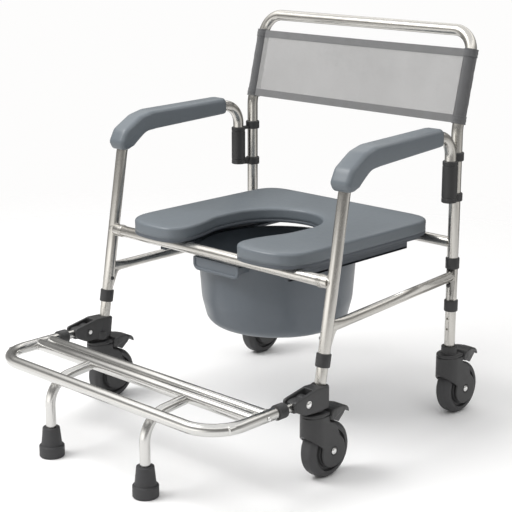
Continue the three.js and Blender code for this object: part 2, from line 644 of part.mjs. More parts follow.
function caster([x, y], side, end, name) {
  const at = [side * x, y, 0];
  const prefix = `${end}_${name}`;
  place(`${prefix}_caster_fork`, fork(end === 'rear'), 'black', ...at);
  place(`${prefix}_wheel`, wheel(), 'rubber', side * x, y + TRAIL, WHEEL_R);
  place(`${prefix}_axle_bolt`, side > 0 ? axleBolt() : axleBolt().rotateZ(Math.PI), 'steel',
    side * x, y + TRAIL, WHEEL_R);
  place(`${prefix}_brake_pedal`, pedal(), 'black', ...at);
}

// ---------------------------------------------------------------- assembly
backFrame();
rearCrossbar();
backSling();
frontCrossbar();
seatCushion();
seatBoard();
bucket();
footrestFrame();
bothSides((side, name) => {
  sideTube(side, name);
  rearLowerTube(side, name);
  armSocket(side, name);
  armPad(side, name);
  bucketRail(side, name);
  innerLegs(side, name);
  collars(side, name);
  legPins(side, name);
  footBracket(side, name);
  footrestSide(side, name);
  caster(FRONT_CASTER, side, 'front', name);
  caster(REAR_CASTER, side, 'rear', name);
});

export default chair;
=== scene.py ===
"""Looks of the wheeled commode chair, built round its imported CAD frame.

Every length here is in millimetres in the row frame: +Z up, floor at z = 0, the sitter faces -Y and
+X is the sitter's left. add_mesh() turns them into Blender's metres.
"""

import math

import bmesh
import bpy
import numpy as np
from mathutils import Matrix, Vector, geometry


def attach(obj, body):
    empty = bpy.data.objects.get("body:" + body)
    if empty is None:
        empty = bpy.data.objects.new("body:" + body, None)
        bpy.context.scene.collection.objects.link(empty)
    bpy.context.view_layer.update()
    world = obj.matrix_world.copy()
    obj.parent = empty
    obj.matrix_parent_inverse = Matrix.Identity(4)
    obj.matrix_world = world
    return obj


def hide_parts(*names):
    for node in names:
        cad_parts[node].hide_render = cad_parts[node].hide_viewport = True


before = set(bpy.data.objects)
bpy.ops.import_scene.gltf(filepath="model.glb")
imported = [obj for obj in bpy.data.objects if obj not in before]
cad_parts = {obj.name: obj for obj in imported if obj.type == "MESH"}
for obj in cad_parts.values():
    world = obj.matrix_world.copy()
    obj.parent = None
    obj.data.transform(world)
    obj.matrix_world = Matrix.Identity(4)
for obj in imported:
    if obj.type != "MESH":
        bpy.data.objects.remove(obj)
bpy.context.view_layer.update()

# ---------------------------------------------------------------- dimensions, as the CAD part has them
TUBE_R = 12.7
BRACE_R = 11.0
INNER_R = 12.2
SLIDER_R = 10.0
POST_X = 312.0
POST_Y = 358.0
BACK_BEND_Z = 664.0
BACK_LEAN = 0.2458
TOP_BAR_Z = 873.0
LEG_X = 337.0
LEG_Y = -119.0
LEG_Z = 187.7
LEG_LEAN = 0.1712
ARM_Z = 658.0
ARM_BENDS = [0, 92.0, 48.0, 0]
SOCKET_X = 324.2
SOCKET_Y = 319.7
ARM_END_Z = 512.0
BAR_Z = 407.2
SEAT_BOTTOM = 420.25
SEAT_TOP = 456.0
SEAT_HALF = 257.0
SEAT_FRONT = -128.0
SEAT_REAR = 367.0
OPENING_HALF = 114.0
OPENING_REAR = 214.0
BUCKET_Y = 116.0
BUCKET_R = 181.0
RIM_R = 192.0
RIM_Z = 391.5
RIM_LOW = RIM_Z - 6.0
BUCKET_BOTTOM = 215.0
FOOT_Z = 179.0
FOOT_X = 341.0
FOOT_FRONT = -423.0
FOOT_BEND_R = 76.0
FOOT_BARS = (-309.0, -277.0)
ARM_REAR = -241.0
FERRULE_X = 150.0
FERRULE_Y = -427.0
PIVOT_Y = -173.0
FRONT_TUBE_END = 252.0
REAR_TUBE_END = 262.0
JOINT_Z = 361.0
STUB_END = 36.0
BRACE_FRONT_Z = 317.2
BRACE_REAR_Z = 330.0
REAR_PIN_Z = 310.0
FRONT_PIN_Z = 294.0
FOOT_PIN_Y = -284.0
HOLE_R = 3.1
SLING_LOW = 676.0
SLING_HIGH = 834.0
FRONT_CASTER = (LEG_X, -133.0)
REAR_CASTER = (POST_X, POST_Y)
WHEEL_R = 60.0
WHEEL_HALF = 19.0
TRAIL = 32.0
HOOD_HALF = 27.0
HOOD_FRONT = 33.0
HOOD_TOP = 149.0
PLATE_IN = 22.0
COVER_R = 35.0

SIDES = (("left", 1), ("right", -1))
MM = 0.001


def leg_y(z):
    """y of the front leg's axis at height z."""
    return LEG_Y + (z - LEG_Z) * LEG_LEAN


def back_y(z):
    """y of the reclined part of a rear post at height z."""
    return POST_Y + max(0.0, z - BACK_BEND_Z) * BACK_LEAN


# ---------------------------------------------------------------- outlines and paths
def unit(v):
    v = np.asarray(v, float)
    return v / np.linalg.norm(v)


def eased(points, radius, steps=5, closed=True):
    """Points in 2D or 3D with each corner rounded. radius is one number, or one for each corner."""
    points = [np.asarray(p, float) for p in points]
    out = []
    for i, corner in enumerate(points):
        r = radius[i] if isinstance(radius, (list, tuple)) else radius
        if r == 0 or (not closed and i in (0, len(points) - 1)):
            out.append(corner)
            continue
        before, after = points[i - 1] - corner, points[(i + 1) % len(points)] - corner
        a, b = unit(before), unit(after)
        inside = math.acos(np.clip(a @ b, -1, 1))
        if inside > math.pi - 1e-3:
            out.append(corner)
            continue
        reach = min(r / math.tan(inside / 2), 0.49 * min(np.linalg.norm(before), np.linalg.norm(after)))
        centre = corner + unit(a + b) * reach / math.cos(inside / 2)
        start, end, turn = corner + a * reach - centre, corner + b * reach - centre, math.pi - inside
        for k in range(steps + 1):
            t = k / steps
            out.append(centre
                       + (math.sin((1 - t) * turn) * start + math.sin(t * turn) * end) / math.sin(turn))
    return np.array(out)


def bow(start, control, end, steps=8):
    """Points on a quadratic curve, without its start."""
    start, control, end = (np.asarray(p, float) for p in (start, control, end))
    ts = [(k + 1) / steps for k in range(steps)]
    return [(1 - t) ** 2 * start + 2 * t * (1 - t) * control + t * t * end for t in ts]


def arc(centre, radius, start, end, steps=12):
    """Points on a circular arc in 2D between two angles in degrees."""
    angles = np.radians(np.linspace(start, end, steps + 1))
    return [np.array([centre[0] + radius * math.cos(t), centre[1] + radius * math.sin(t)]) for t in angles]


def inset(outline, distance):
    """A closed 2D outline moved inwards."""
    ahead = np.roll(outline, -1, 0) - outline
    ahead = ahead / np.linalg.norm(ahead, axis=1)[:, None]
    behind = np.roll(ahead, 1, 0)

    def left(v):
        return np.stack([-v[:, 1], v[:, 0]], 1)

    middle = left(ahead) + left(behind)
    middle /= np.maximum(np.linalg.norm(middle, axis=1), 1e-9)[:, None]
    stretch = 1 / np.maximum(0.6, (middle * left(ahead)).sum(1))
    x, y = outline[:, 0], outline[:, 1]
    area = (x * np.roll(y, -1) - y * np.roll(x, -1)).sum()
    return outline + math.copysign(distance, area) * middle * stretch[:, None]


def resample(line, spacing, closed=True, count=None):
    """A polyline with its points about that far apart, or cut into count steps."""
    line = np.asarray(line, float)
    if closed:
        line = np.vstack([line, line[:1]])
    steps = np.linalg.norm(np.diff(line, axis=0), axis=1)
    run = np.concatenate([[0], np.cumsum(steps)])
    count = count or max(3, round(run[-1] / spacing))
    at = np.linspace(0, run[-1], count + 1)
    out = np.stack([np.interp(at, run, line[:, k]) for k in range(line.shape[1])], 1)
    return out[:-1] if closed else out


# ---------------------------------------------------------------- shells
class Shell:
    """Points, faces and texture coordinates of a closed skin."""

    def __init__(self, points, faces, uvs):
        self.points, self.faces, self.uvs = np.asarray(points, float), faces, uvs

    def moved(self, rotate=None, shift=(0, 0, 0)):
        points = self.points if rotate is None else self.points @ np.asarray(rotate, float).T
        return Shell(points + np.asarray(shift, float), self.faces, self.uvs)


def skin(rings, across=None, along=None, caps=(True, True)):
    """Quads over a row of rings, each a closed loop of as many points. The texture runs in metres."""
    rings = np.asarray(rings, float)
    rows, count = rings.shape[:2]
    if across is None:
        steps = np.linalg.norm(np.roll(rings[rows // 2], -1, 0) - rings[rows // 2], axis=1)
        across = np.concatenate([[0], np.cumsum(steps)]) * MM
    if along is None:
        steps = np.linalg.norm(np.diff(rings.mean(1), axis=0), axis=1)
        along = np.concatenate([[0], np.cumsum(steps)]) * MM
    faces, uvs = [], []
    for i in range(rows - 1):
        for j in range(count):
            k = (j + 1) % count
            faces.append((i * count + j, i * count + k, (i + 1) * count + k, (i + 1) * count + j))
            uvs.append(((across[j], along[i]), (across[j + 1], along[i]),
                        (across[j + 1], along[i + 1]), (across[j], along[i + 1])))
    for row, wanted in ((0, caps[0]), (rows - 1, caps[1])):
        if wanted:
            faces.append(tuple(row * count + j for j in range(count)))
            uvs.append(tuple((across[j], along[row]) for j in range(count)))
    return Shell(rings.reshape(-1, 3), faces, uvs)


def sweep(path, radius, sides=28, ends=0.8, start_side=None):
    """A round bar along a path. radius is a number, one per point, or pairs across and up.
    ends is how far both ends are rounded off."""
    path = np.asarray(path, float)
    radii = np.broadcast_to(np.asarray(radius, float), (len(path),)).copy() if np.ndim(radius) < 2 else None
    pairs = np.stack([radii, radii], 1) if radii is not None else np.asarray(radius, float)
    if ends:
        turns = np.radians([0, 30, 60, 90])
        first, last = unit(path[1] - path[0]), unit(path[-1] - path[-2])
        head = [path[0] + first * ends * (1 - math.sin(t)) for t in turns[::-1]]
        tail = [path[-1] - last * ends * (1 - math.sin(t)) for t in turns]
        head_r = [pairs[0] - ends * (1 - math.cos(t)) for t in turns[::-1]]
        tail_r = [pairs[-1] - ends * (1 - math.cos(t)) for t in turns]
        path = np.vstack([head, path[1:-1], tail])
        pairs = np.vstack([head_r, pairs[1:-1], tail_r])
    runs = np.diff(path, axis=0)
    runs /= np.linalg.norm(runs, axis=1)[:, None]
    tangents = np.vstack([runs[:1], runs[:-1] + runs[1:], runs[-1:]])
    tangents /= np.linalg.norm(tangents, axis=1)[:, None]
    guess = start_side if start_side is not None else ((1, 0, 0) if abs(tangents[0][0]) < 0.8 else (0, 0, 1))
    side = unit(np.asarray(guess, float) - (np.asarray(guess, float) @ tangents[0]) * tangents[0])
    angles = 2 * math.pi * np.arange(sides) / sides
    rings = []
    for point, tangent, (wide, high) in zip(path, tangents, pairs):
        side = unit(side - (side @ tangent) * tangent)
        up = np.cross(tangent, side)
        rings.append([point + wide * math.cos(a) * side + high * math.sin(a) * up for a in angles])
    across = np.arange(sides + 1) / sides * 2 * math.pi * pairs[:, 0].max() * MM
    return skin(rings, across)


def lathe(outline, sides=48, closed=False):
    """A solid turned about Z from [radius, height] points. An open outline has flat ends."""
    outline = np.asarray(outline, float)
    if closed:
        outline = np.vstack([outline, outline[:1]])
    angles = 2 * math.pi * np.arange(sides) / sides
    rings = [[(r * math.cos(a), r * math.sin(a), z) for a in angles] for r, z in outline]
    across = np.arange(sides + 1) / sides * 2 * math.pi * outline[:, 0].max() * MM
    steps = np.linalg.norm(np.diff(outline, axis=0), axis=1)
    along = np.concatenate([[0], np.cumsum(steps)]) * MM
    return skin(rings, across, along, caps=(not closed, not closed))


def plate(outline, thickness, ease=1.0, steps=3):
    """A 2D outline made thick about z = 0, with its edges eased."""
    outline = np.asarray(outline, float)
    half = thickness / 2
    turns = np.radians(np.linspace(0, 90, steps + 1))
    lower = [(ease * (1 - math.sin(t)), -half + ease * (1 - math.cos(t))) for t in turns]
    levels = lower + [(d, -z) for d, z in reversed(lower)]
    rings = [np.column_stack([inset(outline, d), np.full(len(outline), z)]) for d, z in levels]
    return skin(rings)


# Turns that stand a plate or a lathe on another plane: the columns are where x, y and z go.
IN_YZ = np.array([[0, 0, 1], [1, 0, 0], [0, 1, 0]])
IN_XZ = np.array([[1, 0, 0], [0, 0, -1], [0, 1, 0]])


def tilt(angle):
    """Rotation about X that leans +Z towards +Y by the angle, in radians."""
    c, s = math.cos(angle), math.sin(angle)
    return np.array([[1, 0, 0], [0, c, s], [0, -s, c]])


def turn(angle):
    """Rotation about Z."""
    c, s = math.cos(angle), math.sin(angle)
    return np.array([[c, -s, 0], [s, c, 0], [0, 0, 1]])


def block(low, high, ease=0.6):
    """A box between two corners, with eased edges."""
    low, high = np.asarray(low, float), np.asarray(high, float)
    corners = [(low[0], low[1]), (high[0], low[1]), (high[0], high[1]), (low[0], high[1])]
    shell = plate(eased(corners, ease, 3), high[2] - low[2], ease)
    return shell.moved(shift=(0, 0, (low[2] + high[2]) / 2))


def weld(branch_at, branch_run, branch_r, main_at, main_run, main_r, bead=1.5):
    """A weld bead where a branch tube meets the skin of a main tube."""
    branch_at, main_at = np.asarray(branch_at, float), np.asarray(main_at, float)
    run, main = unit(branch_run), unit(main_run)
    side = unit(np.cross(run, main))
    up = np.cross(run, side)

    def flat(v):
        return v - (v @ main) * main

    line = []
    for a in np.linspace(0, 2 * math.pi, 29)[:-1]:
        start = flat(branch_at + branch_r * (math.cos(a) * side + math.sin(a) * up) - main_at)
        way = flat(run)
        qa, qb, qc = way @ way, 2 * start @ way, start @ start - main_r ** 2
        s = (-qb - math.sqrt(max(0.0, qb * qb - 4 * qa * qc))) / (2 * qa)
        line.append(branch_at + branch_r * (math.cos(a) * side + math.sin(a) * up) + s * run)
    line.append(line[0])
    return sweep(np.array(line), bead, sides=8, ends=0)


# ---------------------------------------------------------------- materials
class Shader:
    """A node material being built round one Principled shader."""

    def __init__(self, name, colour, roughness=0.5, **sockets):
        self.material = bpy.data.materials.new(name)
        self.material.use_nodes = True
        self.tree = self.material.node_tree
        self.bsdf = self.tree.nodes["Principled BSDF"]
        self.colour = colour
        self.bsdf.inputs["Base Color"].default_value = (*colour, 1)
        self.bsdf.inputs["Roughness"].default_value = roughness
        for key, value in sockets.items():
            self.bsdf.inputs[key.replace("_", " ")].default_value = value

    def node(self, kind, inputs=None, **settings):
        made = self.tree.nodes.new(kind)
        for key, value in settings.items():
            setattr(made, key, value)
        for key, value in (inputs or {}).items():
            if isinstance(value, bpy.types.NodeSocket):
                self.tree.links.new(value, made.inputs[key])
            else:
                made.inputs[key].default_value = value
        return made

    def place(self, kind="Object", scale=(1, 1, 1)):
        """Texture coordinates in metres, scaled."""
        source = self.node("ShaderNodeTexCoord").outputs[kind]
        return self.node("ShaderNodeMapping", {"Vector": source, "Scale": scale}).outputs["Vector"]

    def noise(self, vector, scale, detail=3.0, roughness=0.5):
        made = self.node("ShaderNodeTexNoise", {"Vector": vector, "Scale": scale, "Detail": detail,
                                                "Roughness": roughness})
        return made.outputs["Fac"]

    def spread(self, value, low, high, start=0.3, end=0.7):
        """A value mapped from start..end to low..high."""
        return self.node("ShaderNodeMapRange", {"Value": value, "From Min": start, "From Max": end,
                                                "To Min": low, "To Max": high}).outputs["Result"]

    def math(self, operation, a, b=0.0):
        return self.node("ShaderNodeMath", {0: a, 1: b}, operation=operation).outputs[0]

    def tint(self, factor, darker, lighter):
        """The base colour, from darker to lighter times its own by factor."""
        made = self.node("ShaderNodeMix", {"Factor": factor}, data_type="RGBA")
        made.inputs[6].default_value = (*[c * darker for c in self.colour], 1)
        made.inputs[7].default_value = (*[min(1, c * lighter) for c in self.colour], 1)
        return made.outputs[2]

    def bump(self, height, distance, strength=1.0, after=None):
        inputs = {"Height": height, "Distance": distance, "Strength": strength}
        if after is not None:
            inputs["Normal"] = after
        return self.node("ShaderNodeBump", inputs).outputs["Normal"]

    def set(self, **sources):
        for key, source in sources.items():
            self.tree.links.new(source, self.bsdf.inputs[key.replace("_", " ")])
        return self.material


def metal(name, colour, roughness, grain=0.05, run=(2600, 55, 1), kind="UV"):
    """Drawn or brushed metal: a grain along the texture's second axis, and faint smudges."""
    s = Shader(name, colour, roughness, Metallic=1.0)
    lines = s.noise(s.place(kind, run), 1.0, 4.0, 0.6)
    smudge = s.noise(s.place("Object", (1, 1, 1)), 14.0, 4.0, 0.55)
    fine = s.spread(lines, roughness - grain, roughness + grain)
    soft = s.spread(smudge, -0.03, 0.04)
    normal = s.bump(lines, 0.00003, 0.25)
    return s.set(Base_Color=s.tint(s.spread(lines, 0, 1), 0.95, 1.04),
                 Roughness=s.math("ADD", fine, soft), Normal=normal)


def moulded(name, colour, roughness, grain_mm=0.5, depth_mm=0.05, mottle=0.1):
    """Moulded plastic or rubber: a fine leathery grain, slow colour drift and worn, shinier patches."""
    s = Shader(name, colour, roughness)
    grain = s.noise(s.place(), 1000 / grain_mm, 2.0, 0.6)
    slow = s.noise(s.place(), 9.0, 3.0, 0.5)
    dust = s.noise(s.place(), 70.0, 5.0, 0.65)
    normal = s.bump(grain, depth_mm * MM, 0.55)
    rough = s.math("ADD", s.spread(slow, roughness - 0.05, roughness + 0.05), s.spread(dust, -0.03, 0.04))
    return s.set(Base_Color=s.tint(s.spread(s.math("ADD", s.math("MULTIPLY", slow, 0.6),
                                                   s.math("MULTIPLY", dust, 0.4)), 0, 1), 1 - mottle,
                                                   1 + mottle),
                 Roughness=rough, Normal=normal)


def threads(s, pitch, share):
    """Woven threads over the UV plane: (thread mask of warp and weft, height)."""
    flat = s.node("ShaderNodeSeparateXYZ", {0: s.node("ShaderNodeTexCoord").outputs["UV"]})
    masks, waves = [], []
    for axis in (0, 1):
        cycles = s.math("MULTIPLY", flat.outputs[axis], 1000 / pitch)
        tooth = s.math("ABSOLUTE", s.math("SUBTRACT", s.math("FRACT", cycles), 0.5))
        masks.append(s.math("LESS_THAN", tooth, share / 2))
        waves.append(s.math("SINE", s.math("MULTIPLY", cycles, 2 * math.pi)))
    mask = s.math("MAXIMUM", *masks)
    height = s.math("ABSOLUTE", s.math("MULTIPLY", *waves))
    return mask, height


def open_mesh(name, colour, pitch, share):
    """Coated mesh cloth that shows what is behind it between its threads."""
    s = Shader(name, colour, 0.62, Sheen_Weight=0.15)
    mask, height = threads(s, pitch, share)
    slow = s.noise(s.place(), 12.0, 3.0)
    normal = s.bump(height, 0.0003, 0.6)
    return s.set(Base_Color=s.tint(s.spread(slow, 0, 1), 0.93, 1.06), Alpha=mask, Normal=normal)


def webbing(name, colour, pitch=1.4):
    """Dense woven binding cloth. Its colour is darker in the dips between threads, which is painted shade, and drifts
    slowly in tone.
    """
    s = Shader(name, colour, 0.75, Sheen_Weight=0.25)
    mask, height = threads(s, pitch, 0.8)
    slow = s.noise(s.place(), 25.0, 4.0)
    normal = s.bump(height, 0.00035, 0.8)
    # Painted shade in the weave: thread height darkens the dips between threads, and slow noise adds a real drift in
    # tone.
    lift = s.math("ADD", s.math("MULTIPLY", height, 0.6), s.math("MULTIPLY", slow, 0.4))
    return s.set(Base_Color=s.tint(s.spread(lift, 0, 1, 0.1, 0.8), 0.8, 1.12), Normal=normal)


ALUMINIUM = metal("satin_aluminium", (0.56, 0.545, 0.515), 0.24)
BRIGHT = metal("bright_aluminium", (0.59, 0.585, 0.57), 0.21, grain=0.04)
STEEL = metal("zinc_steel", (0.80, 0.80, 0.79), 0.24, grain=0.06, run=(900, 900, 900), kind="Object")
BLACK = moulded("black_plastic", (0.034, 0.034, 0.035), 0.46, 0.7, 0.06, 0.16)
# Painted shade: a near-black finish for the washer in each caster bolt's recess, so that the recess reads dark.
RECESS_SHADE = moulded("painted_recess_shade", (0.008, 0.008, 0.008), 0.7, 0.7, 0.03, 0.1)
TYRE = moulded("tyre_rubber", (0.042, 0.042, 0.044), 0.55, 0.8, 0.07, 0.14)
HUB = moulded("hub_plastic", (0.030, 0.030, 0.031), 0.48, 0.6, 0.05, 0.14)
RUBBER = moulded("ferrule_rubber", (0.036, 0.036, 0.038), 0.62, 0.9, 0.08, 0.14)
FOAM = moulded("foam_skin", (0.150, 0.172, 0.192), 0.38, 0.9, 0.07, 0.05)
FOAM_BASE = moulded("seat_base", (0.085, 0.098, 0.115), 0.45, 0.9, 0.05, 0.06)
PAIL = moulded("bucket_plastic", (0.130, 0.150, 0.172), 0.34, 1.2, 0.03, 0.05)
BOARD = moulded("seat_board_plastic", (0.100, 0.115, 0.134), 0.50, 0.8, 0.06, 0.08)
MESH_CLOTH = open_mesh("sling_mesh", (0.42, 0.415, 0.41), 1.9, 0.46)
BINDING = webbing("sling_binding", (0.21, 0.21, 0.212))
SLEEVE = webbing("sling_sleeve", (0.125, 0.126, 0.13))


# ---------------------------------------------------------------- objects
def add_mesh(name, parts, sharp=38):
    """An object from (shell, material) parts. Faces are turned outwards and shaded smooth."""
    points, faces, uvs, slots, materials = [], [], [], [], []
    for shell, material in parts:
        if material not in materials:
            materials.append(material)
        start = sum(len(p) for p in points)
        points.append(shell.points * MM)
        faces += [tuple(i + start for i in f) for f in shell.faces]
        uvs += [uv for face in shell.uvs for uv in face]
        slots += [materials.index(material)] * len(shell.faces)
    mesh = bpy.data.meshes.new(name)
    mesh.from_pydata(np.vstack(points).tolist(), [], faces)
    mesh.uv_layers.new(name="UV").data.foreach_set("uv", np.array(uvs, np.float32).ravel())
    mesh.polygons.foreach_set("material_index", np.array(slots, np.int32))
    for material in materials:
        mesh.materials.append(material)
    tidy = bmesh.new()
    tidy.from_mesh(mesh)
    bmesh.ops.remove_doubles(tidy, verts=tidy.verts, dist=1e-6)
    bmesh.ops.recalc_face_normals(tidy, faces=tidy.faces)
    tidy.to_mesh(mesh)
    tidy.free()
    mesh.shade_smooth()
    mesh.set_sharp_from_angle(angle=math.radians(sharp))
    obj = bpy.data.objects.new(name, mesh)
    bpy.context.scene.collection.objects.link(obj)
    return obj


def settle(obj, sharp=None):
    """Applies the object's modifiers to its mesh."""
    bpy.context.view_layer.update()
    evaluated = obj.evaluated_get(bpy.context.evaluated_depsgraph_get())
    mesh = bpy.data.meshes.new_from_object(evaluated)
    obj.modifiers.clear()
    obj.data = mesh
    if sharp is not None:
        mesh.shade_smooth()
        mesh.set_sharp_from_angle(angle=math.radians(sharp))
    return obj


def boolean(obj, operation, shells, sharp=38):
    """Cuts the shells away from an object, or keeps only what lies in them."""
    tool = add_mesh("tool", [(shell, obj.data.materials[0]) for shell in shells])
    modifier = obj.modifiers.new("boolean", "BOOLEAN")
    modifier.operation, modifier.object = operation, tool
    modifier.solver, modifier.use_self = "EXACT", True
    settle(obj, sharp)
    bpy.data.objects.remove(tool)
    return obj


def cast(obj, voxel, smoothing, keep):
    """Runs overlapping shells together as one moulding with softened edges."""
    obj.modifiers.new("remesh", "REMESH").voxel_size = voxel * MM
    smooth = obj.modifiers.new("smooth", "SMOOTH")
    smooth.iterations, smooth.factor = smoothing, 0.5
    obj.modifiers.new("thin", "DECIMATE").ratio = keep
    return settle(obj, sharp=60)


def put(obj, body, nodes=()):
    """The object rides on a CAD body and stands for CAD nodes, which it hides."""
    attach(obj, body)
    if nodes:
        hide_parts(*([nodes] if isinstance(nodes, str) else nodes))
    return obj


def copy_at(obj, name, shift):
    """Another object with the same mesh, moved."""
    twin = bpy.data.objects.new(name, obj.data)
    twin.location = Vector(shift) * MM
    bpy.context.scene.collection.objects.link(twin)
    return twin


def drill(at, run, radius=HOLE_R, depth=4.0):
    """A round bit standing in a tube's skin at a point, pointing inwards."""
    at, run = np.asarray(at, float), unit(run)
    return sweep([at - 3 * run, at + depth * run], radius, sides=20, ends=0)


# ---------------------------------------------------------------- back frame and sling
def back_line():
    top = back_y(TOP_BAR_Z)
    corners = [(-POST_X, POST_Y, JOINT_Z + 0.4), (-POST_X, POST_Y, BACK_BEND_Z), (-POST_X, top, TOP_BAR_Z),
               (POST_X, top, TOP_BAR_Z), (POST_X, POST_Y, BACK_BEND_Z), (POST_X, POST_Y, JOINT_Z + 0.4)]
    return eased(corners, [0, 90, 50, 50, 90, 0], steps=12, closed=False)


def back_frame():
    obj = add_mesh("back_tube", [(sweep(back_line(), TUBE_R, 36), ALUMINIUM)])
    put(obj, "chair_frame", "backrest_frame")

    reach = POST_X - TUBE_R + 3.5
    parts = [(sweep([(-reach, POST_Y, BAR_Z), (reach, POST_Y, BAR_Z)], TUBE_R - 0.7, ends=0), ALUMINIUM)]
    for side in (1, -1):
        parts.append((weld((side * 200, POST_Y, BAR_Z), (side, 0, 0), TUBE_R - 0.7,
                           (side * POST_X, POST_Y, BAR_Z), (0, 0, 1), TUBE_R), ALUMINIUM))
    put(add_mesh("rear_seat_bar", parts), "chair_frame", "rear_crossbar")


PANEL_HALF = POST_X - 13.0
HEM = 17.5
SLING_RUN = (SLING_HIGH - SLING_LOW) * math.hypot(1, BACK_LEAN)


def sling_point(x, s, lift=0.0):
    """A point on the sling's cloth: across at x, s along the posts, lift in front of it."""
    low = np.array([0, back_y(SLING_LOW), SLING_LOW])
    up = unit((0, BACK_LEAN, 1))
    out = np.array([0, -up[2], up[1]])
    slack = (1 - (x / PANEL_HALF) ** 2) * 5.5
    edge = 1.2 * math.sin(math.pi * np.clip(s / SLING_RUN, 0, 1))
    return low + up * s + out * (7.5 - slack - edge * (1 - (x / PANEL_HALF) ** 2) + lift) + np.array([x, 0,
                                                                                                      0])


def cloth_strip(low, high, thickness, lift, columns=72, rows=10):
    """A strip of the sling's cloth between two heights along the posts."""
    xs = np.linspace(-PANEL_HALF, PANEL_HALF, columns + 1)
    ss = np.linspace(low, high, rows + 1)
    half = thickness / 2
    rings = []
    for x in xs:
        front = [sling_point(x, s, lift + half) for s in ss]
        back = [sling_point(x, s, lift - half) for s in ss[::-1]]
        rings.append(front + back)
    across = np.concatenate([ss, ss[::-1], ss[:1]]) * MM
    return skin(rings, across, (xs + PANEL_HALF) * MM)


def sling():
    panel = add_mesh("sling_panel", [(cloth_strip(2, SLING_RUN - 2, 0.6, 0, rows=16), MESH_CLOTH)])
    put(panel, "chair_frame", "back_sling")
    up = unit((0, BACK_LEAN, 1))
    hems = [(cloth_strip(low, low + HEM, 2.0, 0), BINDING) for low in (0, SLING_RUN - HEM)]
    for side in (1, -1):
        foot = np.array([side * POST_X, back_y(SLING_LOW), SLING_LOW])
        for low in (-1.0, SLING_RUN - HEM + 1):
            ends = [foot + up * low, foot + up * (low + HEM)]
            line = np.linspace(*ends, 8)
            waist = 15.7 + 0.35 * np.cos(np.linspace(0, 4 * math.pi, 8))
            hems.append((sweep(line, waist, 32, ends=0.9), SLEEVE))
    put(add_mesh("sling_hems", hems), "chair_frame")
    sleeves = []
    for side in (1, -1):
        foot = np.array([side * POST_X, back_y(SLING_LOW), SLING_LOW])
        heights = np.linspace(4, SLING_RUN - 4, 40)
        ripple = 14.5 + 0.22 * np.sin(heights / 7.0 + side) + 0.15 * np.sin(heights / 3.1)
        sleeves.append((sweep([foot + up * h for h in heights], ripple, 40, ends=0.6), SLEEVE))
        seam = [foot + up * h + np.array([-side * 14.6, -3.5, 0]) for h in np.linspace(HEM, SLING_RUN - HEM,
                                                                                       24)]
        sleeves.append((sweep(seam, 1.1, 8), SLEEVE))
    put(add_mesh("sling_sleeves", sleeves), "chair_frame")


# ---------------------------------------------------------------- side tubes and braces
def side_line(side):
    corners = [(side * LEG_X, leg_y(FRONT_TUBE_END), FRONT_TUBE_END), (side * LEG_X, leg_y(ARM_Z), ARM_Z),
               (side * SOCKET_X, SOCKET_Y, ARM_Z), (side * SOCKET_X, SOCKET_Y, ARM_END_Z)]
    return eased(corners, ARM_BENDS, steps=16, closed=False)


LEG_RUN = unit((0, LEG_LEAN, 1))


def side_tube(name, side):
    y = leg_y(BAR_Z)
    leg_at = (side * LEG_X, y, BAR_Z)
    inner = side * (LEG_X - STUB_END)
    parts = [(sweep(side_line(side), TUBE_R, 36), ALUMINIUM)]
    parts.append((sweep([(side * (LEG_X - 9), y, BAR_Z), (inner, y, BAR_Z)], TUBE_R + 0.7, 32, ends=1.0),
                  ALUMINIUM))
    for offset in (3.5, 9.0):
        ring = lathe(eased([(TUBE_R, -1.6), (TUBE_R + 1.7, -1.6), (TUBE_R + 1.7, 1.6), (TUBE_R, 1.6)], 0.8,
                           3),
                     40, closed=True)
        parts.append((ring.moved(IN_YZ, (inner + side * offset, y, BAR_Z)), ALUMINIUM))
    parts.append((weld((side * 280, y, BAR_Z), (side, 0, 0), TUBE_R + 0.7, leg_at, LEG_RUN, TUBE_R),
                  ALUMINIUM))
    obj = add_mesh(f"{name}_arm_and_leg_tube", parts)
    at = (side * (LEG_X - TUBE_R), leg_y(FRONT_PIN_Z), FRONT_PIN_Z)
    boolean(obj, "DIFFERENCE", [drill(at, (side, 0, 0), depth=2.4)])
    put(obj, "chair_frame", f"{name}_side_tube")


def front_bar():
    reach = LEG_X - STUB_END - 0.4
    y = leg_y(BAR_Z)
    obj = add_mesh("front_seat_bar",
                   [(sweep([(-reach, y, BAR_Z), (reach, y, BAR_Z)], TUBE_R, 36), ALUMINIUM)])
    put(obj, "chair_frame", "front_crossbar")


